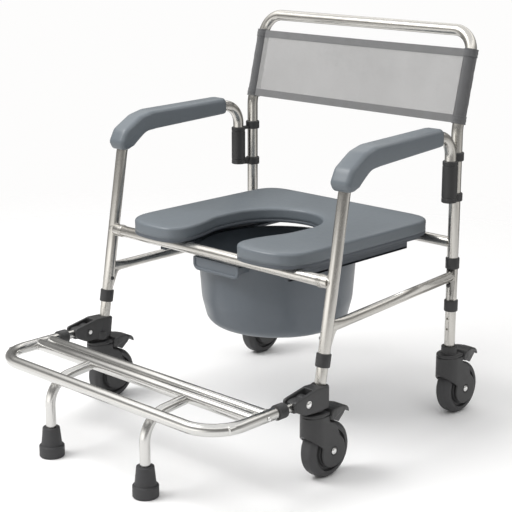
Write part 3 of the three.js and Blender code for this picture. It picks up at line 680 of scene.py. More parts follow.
def rear_lower_tube(name, side):
    post = (side * POST_X, POST_Y, BRACE_REAR_Z)
    front = np.array([side * LEG_X, leg_y(BRACE_FRONT_Z) + TUBE_R - 1.0, BRACE_FRONT_Z])
    rear = np.array([side * POST_X, POST_Y - 6, BRACE_REAR_Z])
    run = unit(rear - front)
    stops = [0, 8, 18, 34, 52, 70]
    line = [front + run * d for d in stops] + [rear]
    section = [(4.2, 12.6), (4.6, 12.4), (6.6, 12.0), (9.6, 11.4), (10.8, 11.1), (BRACE_R, BRACE_R),
               (BRACE_R, BRACE_R)]
    parts = [(sweep([(side * POST_X, POST_Y, REAR_TUBE_END), (side * POST_X, POST_Y, JOINT_Z - 0.4)], TUBE_R,
                    36),
              ALUMINIUM)]
    parts.append((sweep(line, section, 28, ends=0.8, start_side=(1, 0, 0)), ALUMINIUM))
    parts.append((weld(rear - run * 90, run, BRACE_R, post, (0, 0, 1), TUBE_R), ALUMINIUM))
    lean = [(13, 4), (48, 8)]
    foot = [(22, -16), (13, -36), (6, -52)]
    gusset = np.array(lean + foot + [(-4, -52), (0, -30)])
    shape = eased(gusset, [2, 10, 24, 20, 3, 3, 3], 6)
    shell = plate(shape, 7, 2.6, 4).moved(IN_YZ, (side * LEG_X, leg_y(BRACE_FRONT_Z), BRACE_FRONT_Z))
    parts.append((shell, ALUMINIUM))
    obj = add_mesh(f"{name}_lower_post_and_brace", parts)
    boolean(obj, "DIFFERENCE", [drill((side * POST_X, POST_Y - TUBE_R, REAR_PIN_Z), (0, 1, 0), depth=2.4)])
    put(obj, "chair_frame", f"{name}_rear_lower_tube")


# ---------------------------------------------------------------- arm sockets and pads
def grooved(low, high, radius, grooves, depth=0.9, width=1.6):
    """The outer line of a sleeve between two heights, with rings cut into it."""
    line = [(radius - 1.2, low), (radius, low + 1.2)]
    for z in grooves:
        line += [(radius, z - width), (radius - depth, z - width / 2), (radius - depth, z + width / 2),
                 (radius, z + width)]
    return line + [(radius, high - 1.2), (radius - 1.2, high)]


def arm_socket(name, side):
    arm_at, post_at = (side * SOCKET_X, SOCKET_Y, 0), (side * POST_X, POST_Y, 0)
    bore = TUBE_R + 0.3
    sleeve = [(bore, 600)] + grooved(508, 600, 17.0, [519, 590])[::-1] + [(6, 508), (6, 511), (bore, 511.6)]
    parts = [(lathe(sleeve, 48, closed=True).moved(shift=arm_at), BLACK)]
    for low, high in ((594, 613), (504, 522)):
        ring = [(bore, low), (15.6, low), (16.8, low + 1.4), (16.8, high - 1.4), (15.6, high), (bore, high)]
        parts.append((lathe(ring, 48, closed=True).moved(shift=post_at), BLACK))
    span = math.hypot(SOCKET_X - POST_X, SOCKET_Y - POST_Y)
    swing = side * math.atan2(SOCKET_X - POST_X, POST_Y - SOCKET_Y)
    middle = ((arm_at[0] + post_at[0]) / 2, (SOCKET_Y + POST_Y) / 2, 0)
    gap = span / 2 - TUBE_R - 1.0
    for low, high in ((594, 601), (506, 521)):
        web = block((-7, -gap - 1.5, low), (7, gap + 1.5, high), 1.2)
        parts.append((web.moved(turn(swing)).moved(shift=middle), BLACK))
    put(add_mesh(f"{name}_socket", parts), "chair_frame", f"{name}_arm_socket")


PAD_HALF = 26.0


def pad_edges():
    """Matched points on the pad's outer and inner lines, from the rear end to the front tip, as (y, z)."""
    outer = [(260, 680.2), (24, 674.5), (-12, 665.5), (-57, 637.5), (-70.5, 611), (-68, 592)]
    inner = [(260, 643), (38, 632), (6, 629), (-14, 614.5), (-28, 603.5), (-41, 592)]
    rounds = [0, 70, 40, 22, 10, 0]
    return tuple(resample(eased(line, rounds, 10, closed=False), 5.0, closed=False,
                          count=76) for line in (outer, inner))


def arm_pad(name, side):
    outer, inner = pad_edges()
    soft, turns = 9.0, np.radians([0, 22, 45, 68])
    middles, ups = (outer + inner) / 2, outer - inner
    talls = np.linalg.norm(ups, axis=1) / 2
    rear, tip = unit(middles[0] - middles[1]), unit(middles[-1] - middles[-2])
    rows = [(0, rear * soft * (math.cos(t) - 1), soft * (1 - math.sin(t))) for t in turns]
    rows += [(i, np.zeros(2), 0.0) for i in range(3, len(outer) - 3)]
    rows += [(-1, tip * soft * (math.cos(t) - 1), soft * (1 - math.sin(t))) for t in turns[::-1]]
    rings = []
    for i, slide, shrink in rows:
        up, tall, wide = unit(ups[i]), talls[i] - shrink, PAD_HALF - shrink
        corners = [(-wide, -tall), (wide, -tall), (wide, tall), (-wide, tall)]
        ring = eased(corners, [6, 6, 11, 11], 6)
        ring[:, 1] += 1.0 * (1 - (ring[:, 0] / PAD_HALF) ** 2) * (ring[:, 1] > 0)
        rings.append(np.column_stack([ring[:, 0], middles[i] + slide + ring[:, 1:2] * up]))
    swing = math.atan2(LEG_X - SOCKET_X, SOCKET_Y - leg_y(ARM_Z))
    pivot = leg_y(ARM_Z)
    shell = skin(rings).moved(shift=(0, -pivot, 0)).moved(turn(side * swing)).moved(shift=(side * LEG_X,
                                                                                           pivot, 0))
    obj = add_mesh(f"{name}_pad", [(shell, FOAM)], sharp=70)
    put(obj, "chair_frame", f"{name}_arm_pad")


# ---------------------------------------------------------------- seat
def horseshoe(half, front, rear, corner, mouth, opening, opening_rear, tip):
    """The seat's outline: a rounded plate whose rounded opening runs out through the front."""
    bulge = front + 90
    right = [np.array([mouth + tip, front])]
    right.append(np.array([half - corner, front]))
    right += bow((half - corner, front), (half, front), (half, front + corner), 14)
    soft = 0.7 * corner
    right.append(np.array([half, rear - soft]))
    right += bow((half, rear - soft), (half, rear), (half - soft, rear), 12)
    mirror = [np.array([-x, y]) for x, y in right[::-1]]
    inside = bow((-mouth - tip, front), (-mouth, front), (-mouth, front + tip), 14)
    inside += bow((-mouth, front + tip), (-mouth, bulge), (-opening, bulge + 70), 14)
    middle = opening_rear - opening
    inside += arc((0, middle), opening, 180, 0, 48)
    back = bow((-opening, bulge + 70), (-mouth, bulge), (-mouth, front + tip), 14)
    back += bow((-mouth, front + tip), (-mouth, front), (-mouth - tip, front), 14)
    inside += [np.array([-x, y]) for x, y in back][:-1]
    return np.array(right + mirror + inside)


def filled(outline, spacing, height, distance):
    """Points and triangles inside an outline, raised by height(point, distance to the edge)."""
    low, high = outline.min(0), outline.max(0)
    xs = np.arange(low[0], high[0], spacing)
    ys = np.arange(low[1], high[1], spacing * 0.866)
    grid = np.array([(x + (spacing / 2 if k % 2 else 0), y) for k, y in enumerate(ys) for x in xs])
    ahead = np.roll(outline, -1, 0)
    crossing = (outline[None, :, 1] > grid[:, None, 1]) != (ahead[None, :, 1] > grid[:, None, 1])
    with np.errstate(divide="ignore", invalid="ignore"):
        at = outline[None, :, 0] + (grid[:, None, 1] - outline[None, :, 1]) * (
            (ahead - outline)[None, :, 0] / (ahead - outline)[None, :, 1])
    inside = (crossing & (grid[:, None, 0] < at)).sum(1) % 2 == 1
    grid = grid[inside]
    gap = distance(grid)
    grid, gap = grid[gap > spacing * 0.6], gap[gap > spacing * 0.6]
    points = np.vstack([outline, grid])
    edges = [(i, (i + 1) % len(outline)) for i in range(len(outline))]
    made = geometry.delaunay_2d_cdt([Vector(p) for p in points], edges, [], 1, 1e-5)
    flat = np.array([v[:] for v in made[0]])
    reach = distance(flat)
    return np.column_stack([flat, height(flat, reach)]), [tuple(f) for f in made[2]]


def seat():
    outline = resample(horseshoe(SEAT_HALF, SEAT_FRONT, SEAT_REAR, 84, 84, OPENING_HALF, OPENING_REAR, 46),
                       5.0)
    for _ in range(24):
        outline = (np.roll(outline, 1, 0) + 2 * outline + np.roll(outline, -1, 0)) / 4
    if (outline[:, 0] * np.roll(outline[:, 1], -1) - outline[:, 1] * np.roll(outline[:, 0], -1)).sum() < 0:
        outline = outline[::-1]
    groove = SEAT_BOTTOM + 7.5
    soft = 7.0
    levels = [(2.2, SEAT_BOTTOM), (0.7, SEAT_BOTTOM + 0.6), (0.2, SEAT_BOTTOM + 2.0), (0.2, groove - 1.0),
              (1.1, groove - 0.3), (1.1, groove + 0.3), (0.0, groove + 1.2), (-0.5, groove + 7)]
    levels += [(soft * (1 - math.sin(t)), SEAT_TOP - 1.6 - soft * (1 - math.cos(t)))
               for t in np.radians(np.linspace(90, 12, 8))]
    rings = [np.column_stack([inset(outline, d), np.full(len(outline), z)]) for d, z in levels]
    last = inset(outline, levels[-1][0])

    def distance(points):
        return np.sqrt(((points[:, None] - outline[None]) ** 2).sum(2)).min(1)

    def crown(points, reach):
        rise = 1.0 - np.exp(-np.maximum(reach - soft * 0.8, 0) / 9.0)
        return SEAT_TOP - 1.6 + 1.6 * rise

    top, triangles = filled(last, 9.0, crown, distance)
    base = skin(rings[:5], caps=(True, False))
    body = skin(rings[4:], caps=(False, False))
    uvs = [tuple((top[i][0] * MM, top[i][1] * MM) for i in face) for face in triangles]
    top[:, 2] = np.maximum(top[:, 2], levels[-1][1])
    edge = np.sqrt(((top[:, None, :2] - last[None]) ** 2).sum(2)).min(1) < 1e-3
    top[edge, 2] = levels[-1][1]
    obj = add_mesh("seat_pad", [(body, FOAM), (base, FOAM_BASE), (Shell(top, triangles, uvs), FOAM)],
                   sharp=75)
    put(obj, "chair_frame", "seat_cushion")


def seat_board():
    front, rear = leg_y(BAR_Z) + TUBE_R + 3, POST_Y - TUBE_R - 3
    outline = resample(horseshoe(236, front, rear, 12, 150, 172, OPENING_REAR + 58, 6), 7.0)
    low, high = 408.0, SEAT_BOTTOM - 0.4
    parts = [(plate(outline, high - low, 1.0).moved(shift=(0, 0, (low + high) / 2)), BOARD)]
    for x in (-216, 216):
        for y in (-40, 140, 320):
            head = lathe(eased([(4.6, 0), (4.6, -1.2), (3.2, -2.2)], 0.5, 3, closed=False), 20)
            parts.append((head.moved(shift=(x, y, low)), STEEL))
    put(add_mesh("seat_base_board", parts), "chair_frame", "seat_board")
    for name, side in SIDES:
        x = sorted((side * 194.2, side * 200))
        lip = sorted((side * 184, side * 200))
        web = block((x[0], front + 6, RIM_LOW - 7), (x[1], rear - 6, low - 0.4), 1.2)
        ledge = block((lip[0], front + 6, RIM_LOW - 7), (lip[1], rear - 6, RIM_LOW - 0.6), 1.2)
        put(add_mesh(f"{name}_slide_rail", [(web, BOARD), (ledge, BOARD)]), "chair_frame",
            f"{name}_bucket_rail")


# ---------------------------------------------------------------- bucket
def bucket():
    wall = 3.0
    outer = eased([(108, BUCKET_BOTTOM), (157, BUCKET_BOTTOM), (172, BUCKET_BOTTOM + 60),
                   (BUCKET_R - 1, RIM_LOW)],
                  [0, 46, 90, 0], 12, closed=False)
    inner = eased([(60, BUCKET_BOTTOM + 5), (154, BUCKET_BOTTOM + 5), (169, BUCKET_BOTTOM + 62),
                   (BUCKET_R - wall - 1, RIM_Z - 1)], [0, 44, 90, 0], 12, closed=False)[::-1]
    rim = eased([(BUCKET_R - 1, RIM_LOW), (BUCKET_R + 2, RIM_LOW + 1.4), (RIM_R - 3, RIM_LOW + 1.4),
                 (RIM_R - 2.5, RIM_LOW), (RIM_R, RIM_LOW), (RIM_R, RIM_Z - 0.6), (BUCKET_R + 1, RIM_Z),
                 (BUCKET_R - 2, RIM_Z)], [0, 1.5, 0.6, 0.6, 0.8, 2.2, 2, 0], 4, closed=False)
    foot = [(60, BUCKET_BOTTOM + 2), (100, BUCKET_BOTTOM + 2), (102, BUCKET_BOTTOM), (108, BUCKET_BOTTOM)]
    profile = np.vstack([foot[:3], outer, rim[1:], inner])
    body = lathe(profile, 128)
    parts = [(body, PAIL)]
    face, top, low, half = -BUCKET_R - 17, RIM_Z - 0.8, 361.0, 70.0
    corners = [(-half, top), (-half, low), (half, low), (half, top)]
    outline = eased(corners, [2, 15, 15, 2], 8)
    panel = plate(outline, 3.2, 1.0).moved(IN_XZ, (0, face + 3.4, 0))
    parts.append((panel, PAIL))
    edge = eased([(-half + 3.6, top - 3), (-half + 3.6, low + 3.6), (half - 3.6, low + 3.6),
                  (half - 3.6, top - 3)],
                 [0, 12, 12, 0], 8, closed=False)
    line = [(x, face + 1.6, z) for x, z in edge]
    parts.append((sweep(line, [(3.6, 2.4)] * len(line), 20, ends=1.2, start_side=(1, 0, 0)), PAIL))
    parts.append((block((-half, face + 0.6, top - 4), (half, -BUCKET_R + 6, top), 1.2), PAIL))
    for side in (1, -1):
        x = sorted((side * (half - 3.6), side * half))
        parts.append((block((x[0], face + 2, low + 13), (x[1], -164, top), 1.2), PAIL))
    parts = [(shell.moved(shift=(0, BUCKET_Y, 0)), material) for shell, material in parts]
    put(add_mesh("bucket_pail", parts, sharp=50), "bucket", "bucket")


# ---------------------------------------------------------------- legs, collars and pins
def inner_legs(name, side):
    low, long = 154.0, 188.0
    foot = np.array([side * POST_X, POST_Y, low])
    rear = add_mesh(f"rear_{name}_sliding_leg",
                    [(sweep([foot, foot + (0, 0, long)], INNER_R, 36), ALUMINIUM)])
    bits = [drill((side * POST_X, POST_Y - INNER_R, z), (0, 1, 0), depth=4.0) for z in (207, 232)]
    boolean(rear, "DIFFERENCE", bits)
    put(rear, f"rear_{name}_leg", f"rear_{name}_inner_leg")
    low, long = 170.0, 172.0
    foot = np.array([side * LEG_X, leg_y(low), low])
    front = add_mesh(f"front_{name}_sliding_leg",
                     [(sweep([foot, foot + LEG_RUN * long], INNER_R, 36), ALUMINIUM)])
    put(front, "front_undercarriage", f"front_{name}_inner_leg")


def collar_shell(low, high, outer_bore, inner_bore, step=None, radius=15.6, ribs=0):
    """A plastic collar standing on Z, closing from the outer tube to the inner one at step."""
    line = [(outer_bore, high), (radius - 1.5, high), (radius - 0.3, high - 0.7), (radius, high - 1.8)]
    if ribs:
        for z in np.linspace(high - 3, low + 3, 2 * ribs + 1):
            line.append((radius - (0.9 if len(line) % 2 else 0), z))
    line += [(radius, low + 1.8), (radius - 0.3, low + 0.7), (radius - 1.5, low), (inner_bore, low)]
    if step is not None:
        line += [(inner_bore, step), (outer_bore, step)]
    return lathe(line, 48, closed=True)


def collars(name, side):
    bore, slide = TUBE_R + 0.1, INNER_R + 0.1
    at = (side * POST_X, POST_Y, 0)
    upper = collar_shell(JOINT_Z - 12.5, JOINT_Z + 12.5, bore, bore).moved(shift=at)
    put(add_mesh(f"rear_{name}_joint_ring", [(upper, BLACK)]), "chair_frame", f"rear_{name}_upper_collar")
    lower = collar_shell(-13, 13, bore, slide, step=-0.4).moved(shift=(at[0], at[1], REAR_TUBE_END))
    put(add_mesh(f"rear_{name}_leg_ring", [(lower, BLACK)]), "chair_frame", f"rear_{name}_lower_collar")
    front = collar_shell(-14, 14, bore, slide, step=-0.4).moved(tilt(math.atan(LEG_LEAN)))
    front = front.moved(shift=(side * LEG_X, leg_y(FRONT_TUBE_END), FRONT_TUBE_END))
    put(add_mesh(f"front_{name}_leg_ring", [(front, BLACK)]), "chair_frame", f"front_{name}_collar")


def pin_shell(direction, at):
    """A pull pin: a domed head on the tube's skin, with its shank in the hole."""
    outline = [(HOLE_R - 0.5, -1.3), (HOLE_R - 0.5, 0), (4.4, 0), (4.6, 0.5), (4.4, 1.6), (3.7, 2.5),
               (2.4, 3.1),
               (0.6, 3.3)]
    outward = unit(direction)
    side = unit(np.cross(outward, (0, 0, 1)))
    rotate = np.column_stack([side, np.cross(outward, side), outward])
    return lathe(outline, 28).moved(rotate, at)


def pins(name, side):
    skin_r = TUBE_R + 0.35
    shapes = (
        (f"rear_{name}_leg_pin", (0, -1, 0), (side * POST_X, POST_Y - skin_r, REAR_PIN_Z), BLACK,
         "black_plastic"),
        (f"front_{name}_leg_pin", (-side, 0, 0), (side * (LEG_X - skin_r), leg_y(FRONT_PIN_Z), FRONT_PIN_Z),
         BLACK,
         "black_plastic"),
        (f"{name}_footrest_pin", (side, 0, 0), (side * (FOOT_X + skin_r), FOOT_PIN_Y, FOOT_Z), STEEL,
         "bolt_steel"),
    )
    for node, direction, at, material, slot in shapes:
        obj = add_mesh(f"{node}_head", [(pin_shell(direction, at), material)])
        put(obj, node, node)


# ---------------------------------------------------------------- footrest brackets
def bolt_shell(half, head, shank=4.0):
    """A bolt along X: a domed head on +X, and a nut on -X."""
    dome = eased([(shank, half), (head, half), (head, half + 1.6), (head * 0.62, half + 3.4),
                  (0.4, half + 3.6)],
                 [0, 0.4, 1.0, 2.0, 0], 5, closed=False)
    stem = [(shank, -half - 4.5), (shank, half)]
    parts = [lathe(np.vstack([stem, dome[1:]]), 36)]
    hexagon = eased([(head * 0.92 * math.cos(a), head * 0.92 * math.sin(a))
                     for a in np.radians(np.arange(6) * 60)], 0.6, 2)
    parts.append(plate(hexagon, 3.4, 0.5).moved(shift=(0, 0, -half - 2.2)))
    washer = [(shank + 0.2, half - 0.1), (head + 1.6, half - 0.1), (head + 1.6, half + 0.6),
              (shank + 0.2, half + 0.6)]
    return parts, lathe(washer, 36, closed=True)


def foot_bracket(name, side):
    """The bracket round the front leg's foot, with a clevis for the footrest arm."""
    lean = math.atan(LEG_LEAN)
    x = side * LEG_X
    foot, head = np.array([x, leg_y(158), 158.0]), np.array([x, leg_y(203), 203.0])
    socket = sweep([foot, head], [19.4, 18.2], 48, ends=2.0)
    skirt = lathe(eased([(20.3, HOOD_TOP + 3.6), (20.3, 160), (19, 172)], [0, 4, 0], 4, closed=False), 48)
    skirt = skirt.moved(shift=(x, FRONT_CASTER[1], 0))
    outline = eased([(-112, 156), (-150, 155), (-184, 158), (-210, 171), (-216, 193), (-150, 205),
                     (-112, 203)],
                    [3, 20, 14, 10, 7, 10, 3], 6)
    cheeks = plate(outline, 36, 2.5, 4).moved(IN_YZ, (side * FOOT_X, 0, 0))
    obj = add_mesh(f"{name}_bracket", [(shell, BLACK) for shell in (socket, skirt, cheeks)])
    inner = SLIDER_R + 0.9
    slot = block((side * FOOT_X - inner, -240, 120), (side * FOOT_X + inner, PIVOT_Y + 17, 240), 2)
    leg = sweep([foot + LEG_RUN * 12, head + LEG_RUN * 40], INNER_R + 0.4, 40, ends=0)
    dish = lathe([(13.5, -3), (16.5, 3)], 40).moved(tilt(lean)).moved(shift=head)
    boolean(obj, "DIFFERENCE", [slot, leg, dish])
    pocket = [sweep([(side * FOOT_X + s * 16.6, PIVOT_Y, FOOT_Z), (side * FOOT_X + s * 24, PIVOT_Y, FOOT_Z)],
                    9.2, 32,
                    ends=0) for s in (1, -1)]
    boolean(obj, "DIFFERENCE", pocket)
    cast(obj, 0.9, 4, 0.16)
    put(obj, "front_undercarriage", f"{name}_footrest_bracket")
    parts, washer = bolt_shell(16.6, 6.0)
    shells = [(part.moved(IN_YZ), STEEL) for part in parts] + [(washer.moved(IN_YZ), STEEL)]
    shells = [(shell.moved(np.diag([side, 1, 1]), (side * FOOT_X, PIVOT_Y, FOOT_Z)), m) for shell,
              m in shells]
    put(add_mesh(f"{name}_pivot_bolt", shells), "front_undercarriage", f"{name}_bracket_bolt")


# ---------------------------------------------------------------- footrest
def knuckle(name, side):
    """The moulded hinge end on the footrest's inner tube, which fills the bracket's slot."""
    eye = [np.array([p[0], p[1]]) for p in arc((PIVOT_Y, FOOT_Z), 16.4, -60, 128, 20)]
    outline = eye + [np.array(p, float) for p in ((-204, 192), (-210, 188), (-210, 168), (-196, 166))]
    shell = plate(np.array(outline), 2 * SLIDER_R + 0.6, 1.2).moved(IN_YZ, (side * FOOT_X, 0, 0))
    return add_mesh(f"{name}_footrest_knuckle", [(shell, BLACK)])


def footrest():
    corners = [(-FOOT_X, ARM_REAR, FOOT_Z), (-FOOT_X, FOOT_FRONT, FOOT_Z), (FOOT_X, FOOT_FRONT, FOOT_Z),
               (FOOT_X, ARM_REAR, FOOT_Z)]
    parts = [(sweep(eased(corners, FOOT_BEND_R, 16, closed=False), TUBE_R, 36), BRIGHT)]
    for y in FOOT_BARS:
        reach = FOOT_X - 7
        parts.append((sweep([(-reach, y, FOOT_Z), (reach, y, FOOT_Z)], TUBE_R, 32, ends=2.0), BRIGHT))
        for side in (1, -1):
            parts.append((weld((side * 250, y, FOOT_Z), (side, 0, 0), TUBE_R - 0.3,
                               (side * FOOT_X, y, FOOT_Z),
                               (0, 1, 0), TUBE_R), BRIGHT))
    for side in (1, -1):
        corners = [(side * FERRULE_X, FERRULE_Y, 22), (side * FERRULE_X, FERRULE_Y, 166),
                   (side * FERRULE_X, FOOT_BARS[0] - 6, FOOT_Z - 3)]
        parts.append((sweep(eased(corners, 58, 14, closed=False), 11.0, 32, ends=3.0), BRIGHT))
    obj = add_mesh("footrest_tubes", parts)
    put(obj, "footrest", "footrest_frame")
    for name, side in SIDES:
        x = side * FOOT_X
        arm = add_mesh(f"{name}_footrest_slider",
                       [(sweep([(x, -386, FOOT_Z), (x, -161, FOOT_Z)], SLIDER_R, 32, ends=2.5), BRIGHT)])
        put(arm, "footrest_arms", f"{name}_footrest_arm")
        put(knuckle(name, side), "footrest_arms")
        ring = collar_shell(-12, 12, TUBE_R + 0.1, SLIDER_R + 0.2, step=-0.4, radius=15.8, ribs=5)
        ring = ring.moved(tilt(-math.pi / 2), (x, ARM_REAR, FOOT_Z))
        put(add_mesh(f"{name}_footrest_ring", [(ring, BLACK)]), "footrest", f"{name}_footrest_collar")
        line = eased([(6, 1.2), (22, 1.2), (23.5, 0), (25.5, 0), (27, 2), (27, 23.5), (25.5, 25.5),
                      (22.6, 25.7),
                      (22.2, 27), (18.5, 62), (18.2, 64.6), (16, 65), (11.2, 65), (11.2, 50)],
                     [0, 0.4, 0.4, 1, 1.2, 1.4, 1, 0.6, 0.6, 2, 0.8, 0.6, 0.4, 0], 3, closed=False)
        cap = lathe(line, 56).moved(shift=(side * FERRULE_X, FERRULE_Y, 0))
        put(add_mesh(f"{name}_ferrule", [(cap, RUBBER)]), "footrest", f"{name}_footrest_ferrule")


# ---------------------------------------------------------------- casters
def fork_outline():
    """The fork seen from the side, as (y, z) about the swivel axis."""
    line = [(-HOOD_FRONT - 4, 104), (-HOOD_FRONT - 4, HOOD_TOP), (18, HOOD_TOP), (18, 128.5), (34, 121)]
    line += bow((34, 121), (45, 110), (TRAIL + 0.5 * COVER_R, WHEEL_R + 0.866 * COVER_R), 6)
    line += arc((TRAIL, WHEEL_R), COVER_R, 60, -203, 44)
    return np.array([np.asarray(p, float) for p in line])


def fork_mesh(rear):
    side = plate(fork_outline(), 2 * HOOD_HALF, 2.2, 4).moved(IN_YZ)
    plan = [np.array([HOOD_HALF, 90.0]), np.array([-HOOD_HALF, 90.0])]
    plan += [np.array([HOOD_HALF * math.cos(a),
                       HOOD_FRONT * math.sin(a)]) for a in np.radians(np.linspace(180, 360, 33))]
    hood = plate(np.array(plan), HOOD_TOP + 20, 3.0, 4).moved(shift=(0, 0, (HOOD_TOP - 20) / 2))
    obj = add_mesh("rear_fork" if rear else "front_fork", [(side, BLACK)])
    boolean(obj, "INTERSECT", [hood])
    well = [np.array([PLATE_IN, 110.0]), np.array([-PLATE_IN, 110.0])]
    well += [np.array([PLATE_IN * math.cos(a), (HOOD_FRONT - 6) * math.sin(a)])
             for a in np.radians(np.linspace(180, 360, 25))]
    hollow = plate(np.array(well), 160, 0.5).moved(shift=(0, 0, 126 - 80))
    recess = [sweep([(s * (HOOD_HALF - 1.6), TRAIL, WHEEL_R), (s * (HOOD_HALF + 8), TRAIL, WHEEL_R)], 10.2,
                    40, ends=0)
              for s in (1, -1)]
    ring = HOOD_TOP - 8
    groove = lathe([(HOOD_HALF - 1.6, ring), (60, ring), (60, ring + 2.2), (HOOD_HALF - 1.6, ring + 2.2)], 56,
                   closed=True)
    groove = groove.moved(np.diag([1, HOOD_FRONT / HOOD_HALF, 1]))
    boolean(obj, "DIFFERENCE", [hollow, *recess])
    boolean(obj, "DIFFERENCE", [groove])
    if rear:
        neck = lathe(eased([(12.6, HOOD_TOP - 3), (20.5, HOOD_TOP - 3), (18.6, HOOD_TOP + 6),
                            (18.6, HOOD_TOP + 17),
                            (12.6, HOOD_TOP + 17)], [0, 2, 5, 2, 1], 4), 48, closed=True)
        extra = add_mesh("neck", [(neck, BLACK)])
        joined = bmesh.new()
        joined.from_mesh(obj.data)
        joined.from_mesh(extra.data)
        joined.to_mesh(obj.data)
        joined.free()
        bpy.data.objects.remove(extra)
    cast(obj, 0.8, 4, 0.14)
    stem = sweep([(0, 0, 124), (0, 0, 190 if rear else 161)], 5.6, 24)
    return obj, stem


def wheel_parts():
    hub = PLATE_IN - 0.8
    half = WHEEL_HALF
    tread = eased([(43.5, half - 5), (44.5, half), (52, half - 0.4), (WHEEL_R, half - 8),
                   (WHEEL_R, -half + 8),
                   (52, -half + 0.4), (44.5, -half), (43.5, -half + 5)], [0.5, 1.2, 5, 8, 8, 5, 1.2, 0.5], 6)
    core = eased([(5.6, hub), (11.5, hub), (12.5, hub - 1.2), (35.5, hub - 1.6), (37.2, half - 5.5),
                  (43.8, half - 5.5),
                  (43.8, -half + 5.5), (37.2, -half + 5.5), (35.5, -hub + 1.6), (12.5, -hub + 1.2),
                  (11.5, -hub),
                  (5.6, -hub)], [0.3, 0.8, 0.8, 1.2, 1.0, 0.4, 0.4, 1.0, 1.2, 0.8, 0.8, 0.3], 4)
    return [(lathe(tread, 96, closed=True).moved(IN_YZ), TYRE),
            (lathe(core, 96, closed=True).moved(IN_YZ), HUB)]


def pedal_mesh():
    """The brake pedal: a tapering tread plate with side flanges, ribs and a hooked tip."""
    stations = [(18.6, 132, 139.5, 27.5), (22, 131.4, 146, 28.5), (27, 131.2, 151.4, 29),
                (36, 134, 152.6, 28.6),
                (50, 137, 152, 25.4), (64, 138.4, 149.4, 21.5), (78, 137.2, 145.4, 17.0),
                (88, 133, 140.4, 13.6),
                (93, 127.5, 136, 12.0), (95.6, 125.4, 131.2, 11.2)]
    rings = []
    for y, low, high, half in stations:
        corners = [(-half, low), (half, low), (half, high), (-half, high)]
        rings.append([(x, y, z) for x, z in eased(corners, [1.4, 1.4, 2.4, 2.4], 4)])
    parts = [(skin(rings), BLACK)]
    for side in (1, -1):
        outline = eased([(21, 131), (20, 144), (34, 151), (62, 149), (82, 142), (68, 131), (48, 120),
                         (34, 127.5)],
                        [1, 2, 6, 10, 2, 8, 4, 3], 4)
        flange = plate(outline, 3, 1.2).moved(IN_YZ)
        spread = math.atan2(9, 44)
        flange = flange.moved(shift=(0, -27, 0)).moved(turn(side * spread)).moved(shift=(side * 27.4, 27, 0))
        parts.append((flange, BLACK))
    for y, half in ((56, 17), (64, 15), (72, 12.5)):
        height = np.interp(y, [s[0] for s in stations], [s[2] for s in stations])
        line = [(-half, y, height - 0.2), (half, y, height - 0.2)]
        parts.append((sweep(line, [(1.3, 1.3)] * 2, 10, ends=1.0), BLACK))
    obj = add_mesh("brake_pedal_shape", parts)
    return cast(obj, 0.7, 3, 0.2)


def casters():
    bolts, washer = bolt_shell(HOOD_HALF - 1.4, 7.2, 5.0)
    # The washer in the recess takes the near-black painted recess shade.
    bolt_parts = [(part.moved(IN_YZ), STEEL) for part in bolts] + [(washer.moved(IN_YZ), RECESS_SHADE)]
    pedal = pedal_mesh()
    wheel = add_mesh("wheel_shape", wheel_parts())
    forks = {"front": fork_mesh(False), "rear": fork_mesh(True)}
    stems = {}
    for end, (fork, stem) in forks.items():
        stems[end] = add_mesh(f"{end}_stem_shape", [(stem, STEEL)])
    for end, (x, y) in (("front", FRONT_CASTER), ("rear", REAR_CASTER)):
        for name, side in SIDES:
            key = f"{end}_{name}"
            at, axle = (side * x, y, 0), (side * x, y + TRAIL, WHEEL_R)
            fork = copy_at(forks[end][0], f"{key}_fork_and_hood", at)
            put(fork, f"{key}_caster", f"{key}_caster_fork")
            put(copy_at(stems[end], f"{key}_stem", at), f"{key}_caster")
            bolt = [(shell.moved(np.diag([side, 1, 1]), axle), material) for shell, material in bolt_parts]
            put(add_mesh(f"{key}_bolt", bolt), f"{key}_caster", f"{key}_axle_bolt")
            put(copy_at(wheel, f"{key}_tyre_and_hub", axle), f"{key}_wheel", f"{key}_wheel")
            put(copy_at(pedal, f"{key}_pedal", at), f"{key}_brake", f"{key}_brake_pedal")
    for obj in (pedal, wheel, *(fork for fork, _ in forks.values()), *stems.values()):
        bpy.data.objects.remove(obj)


# ---------------------------------------------------------------- assembly
back_frame()
sling()
front_bar()
seat()
seat_board()
bucket()
footrest()
for name, side in SIDES:
    side_tube(name, side)
    rear_lower_tube(name, side)
    arm_socket(name, side)
    arm_pad(name, side)
    inner_legs(name, side)
    collars(name, side)
    pins(name, side)
    foot_bracket(name, side)
casters()


# ---------------------------------------------------------------- floor, light and camera
def floor():
    """A plain floor whose paint fades into the backdrop well away from the chair."""
    mesh = bpy.data.meshes.new("floor")
    reach = 12.0
    mesh.from_pydata([(-reach, -reach, 0), (reach, -reach, 0), (reach, reach, 0), (-reach, reach, 0)], [],
                     [(0, 1, 2, 3)])
    obj = bpy.data.objects.new("floor", mesh)
    bpy.context.scene.collection.objects.link(obj)
    s = Shader("floor_paint", (0.955, 0.95, 0.945), 0.85)
    away = s.node("ShaderNodeVectorMath", {0: s.node("ShaderNodeTexCoord").outputs["Object"]},
                  operation="LENGTH")
    fade = s.spread(away.outputs["Value"], 0.0, 1.0, 0.9, 2.6)
    clear = s.node("ShaderNodeBsdfTransparent")
    mixed = s.node("ShaderNodeMixShader", {0: fade, 1: s.bsdf.outputs[0], 2: clear.outputs[0]})
    out = next(n for n in s.tree.nodes if n.type == "OUTPUT_MATERIAL")
    s.tree.links.new(mixed.outputs[0], out.inputs["Surface"])
    mesh.materials.append(s.material)


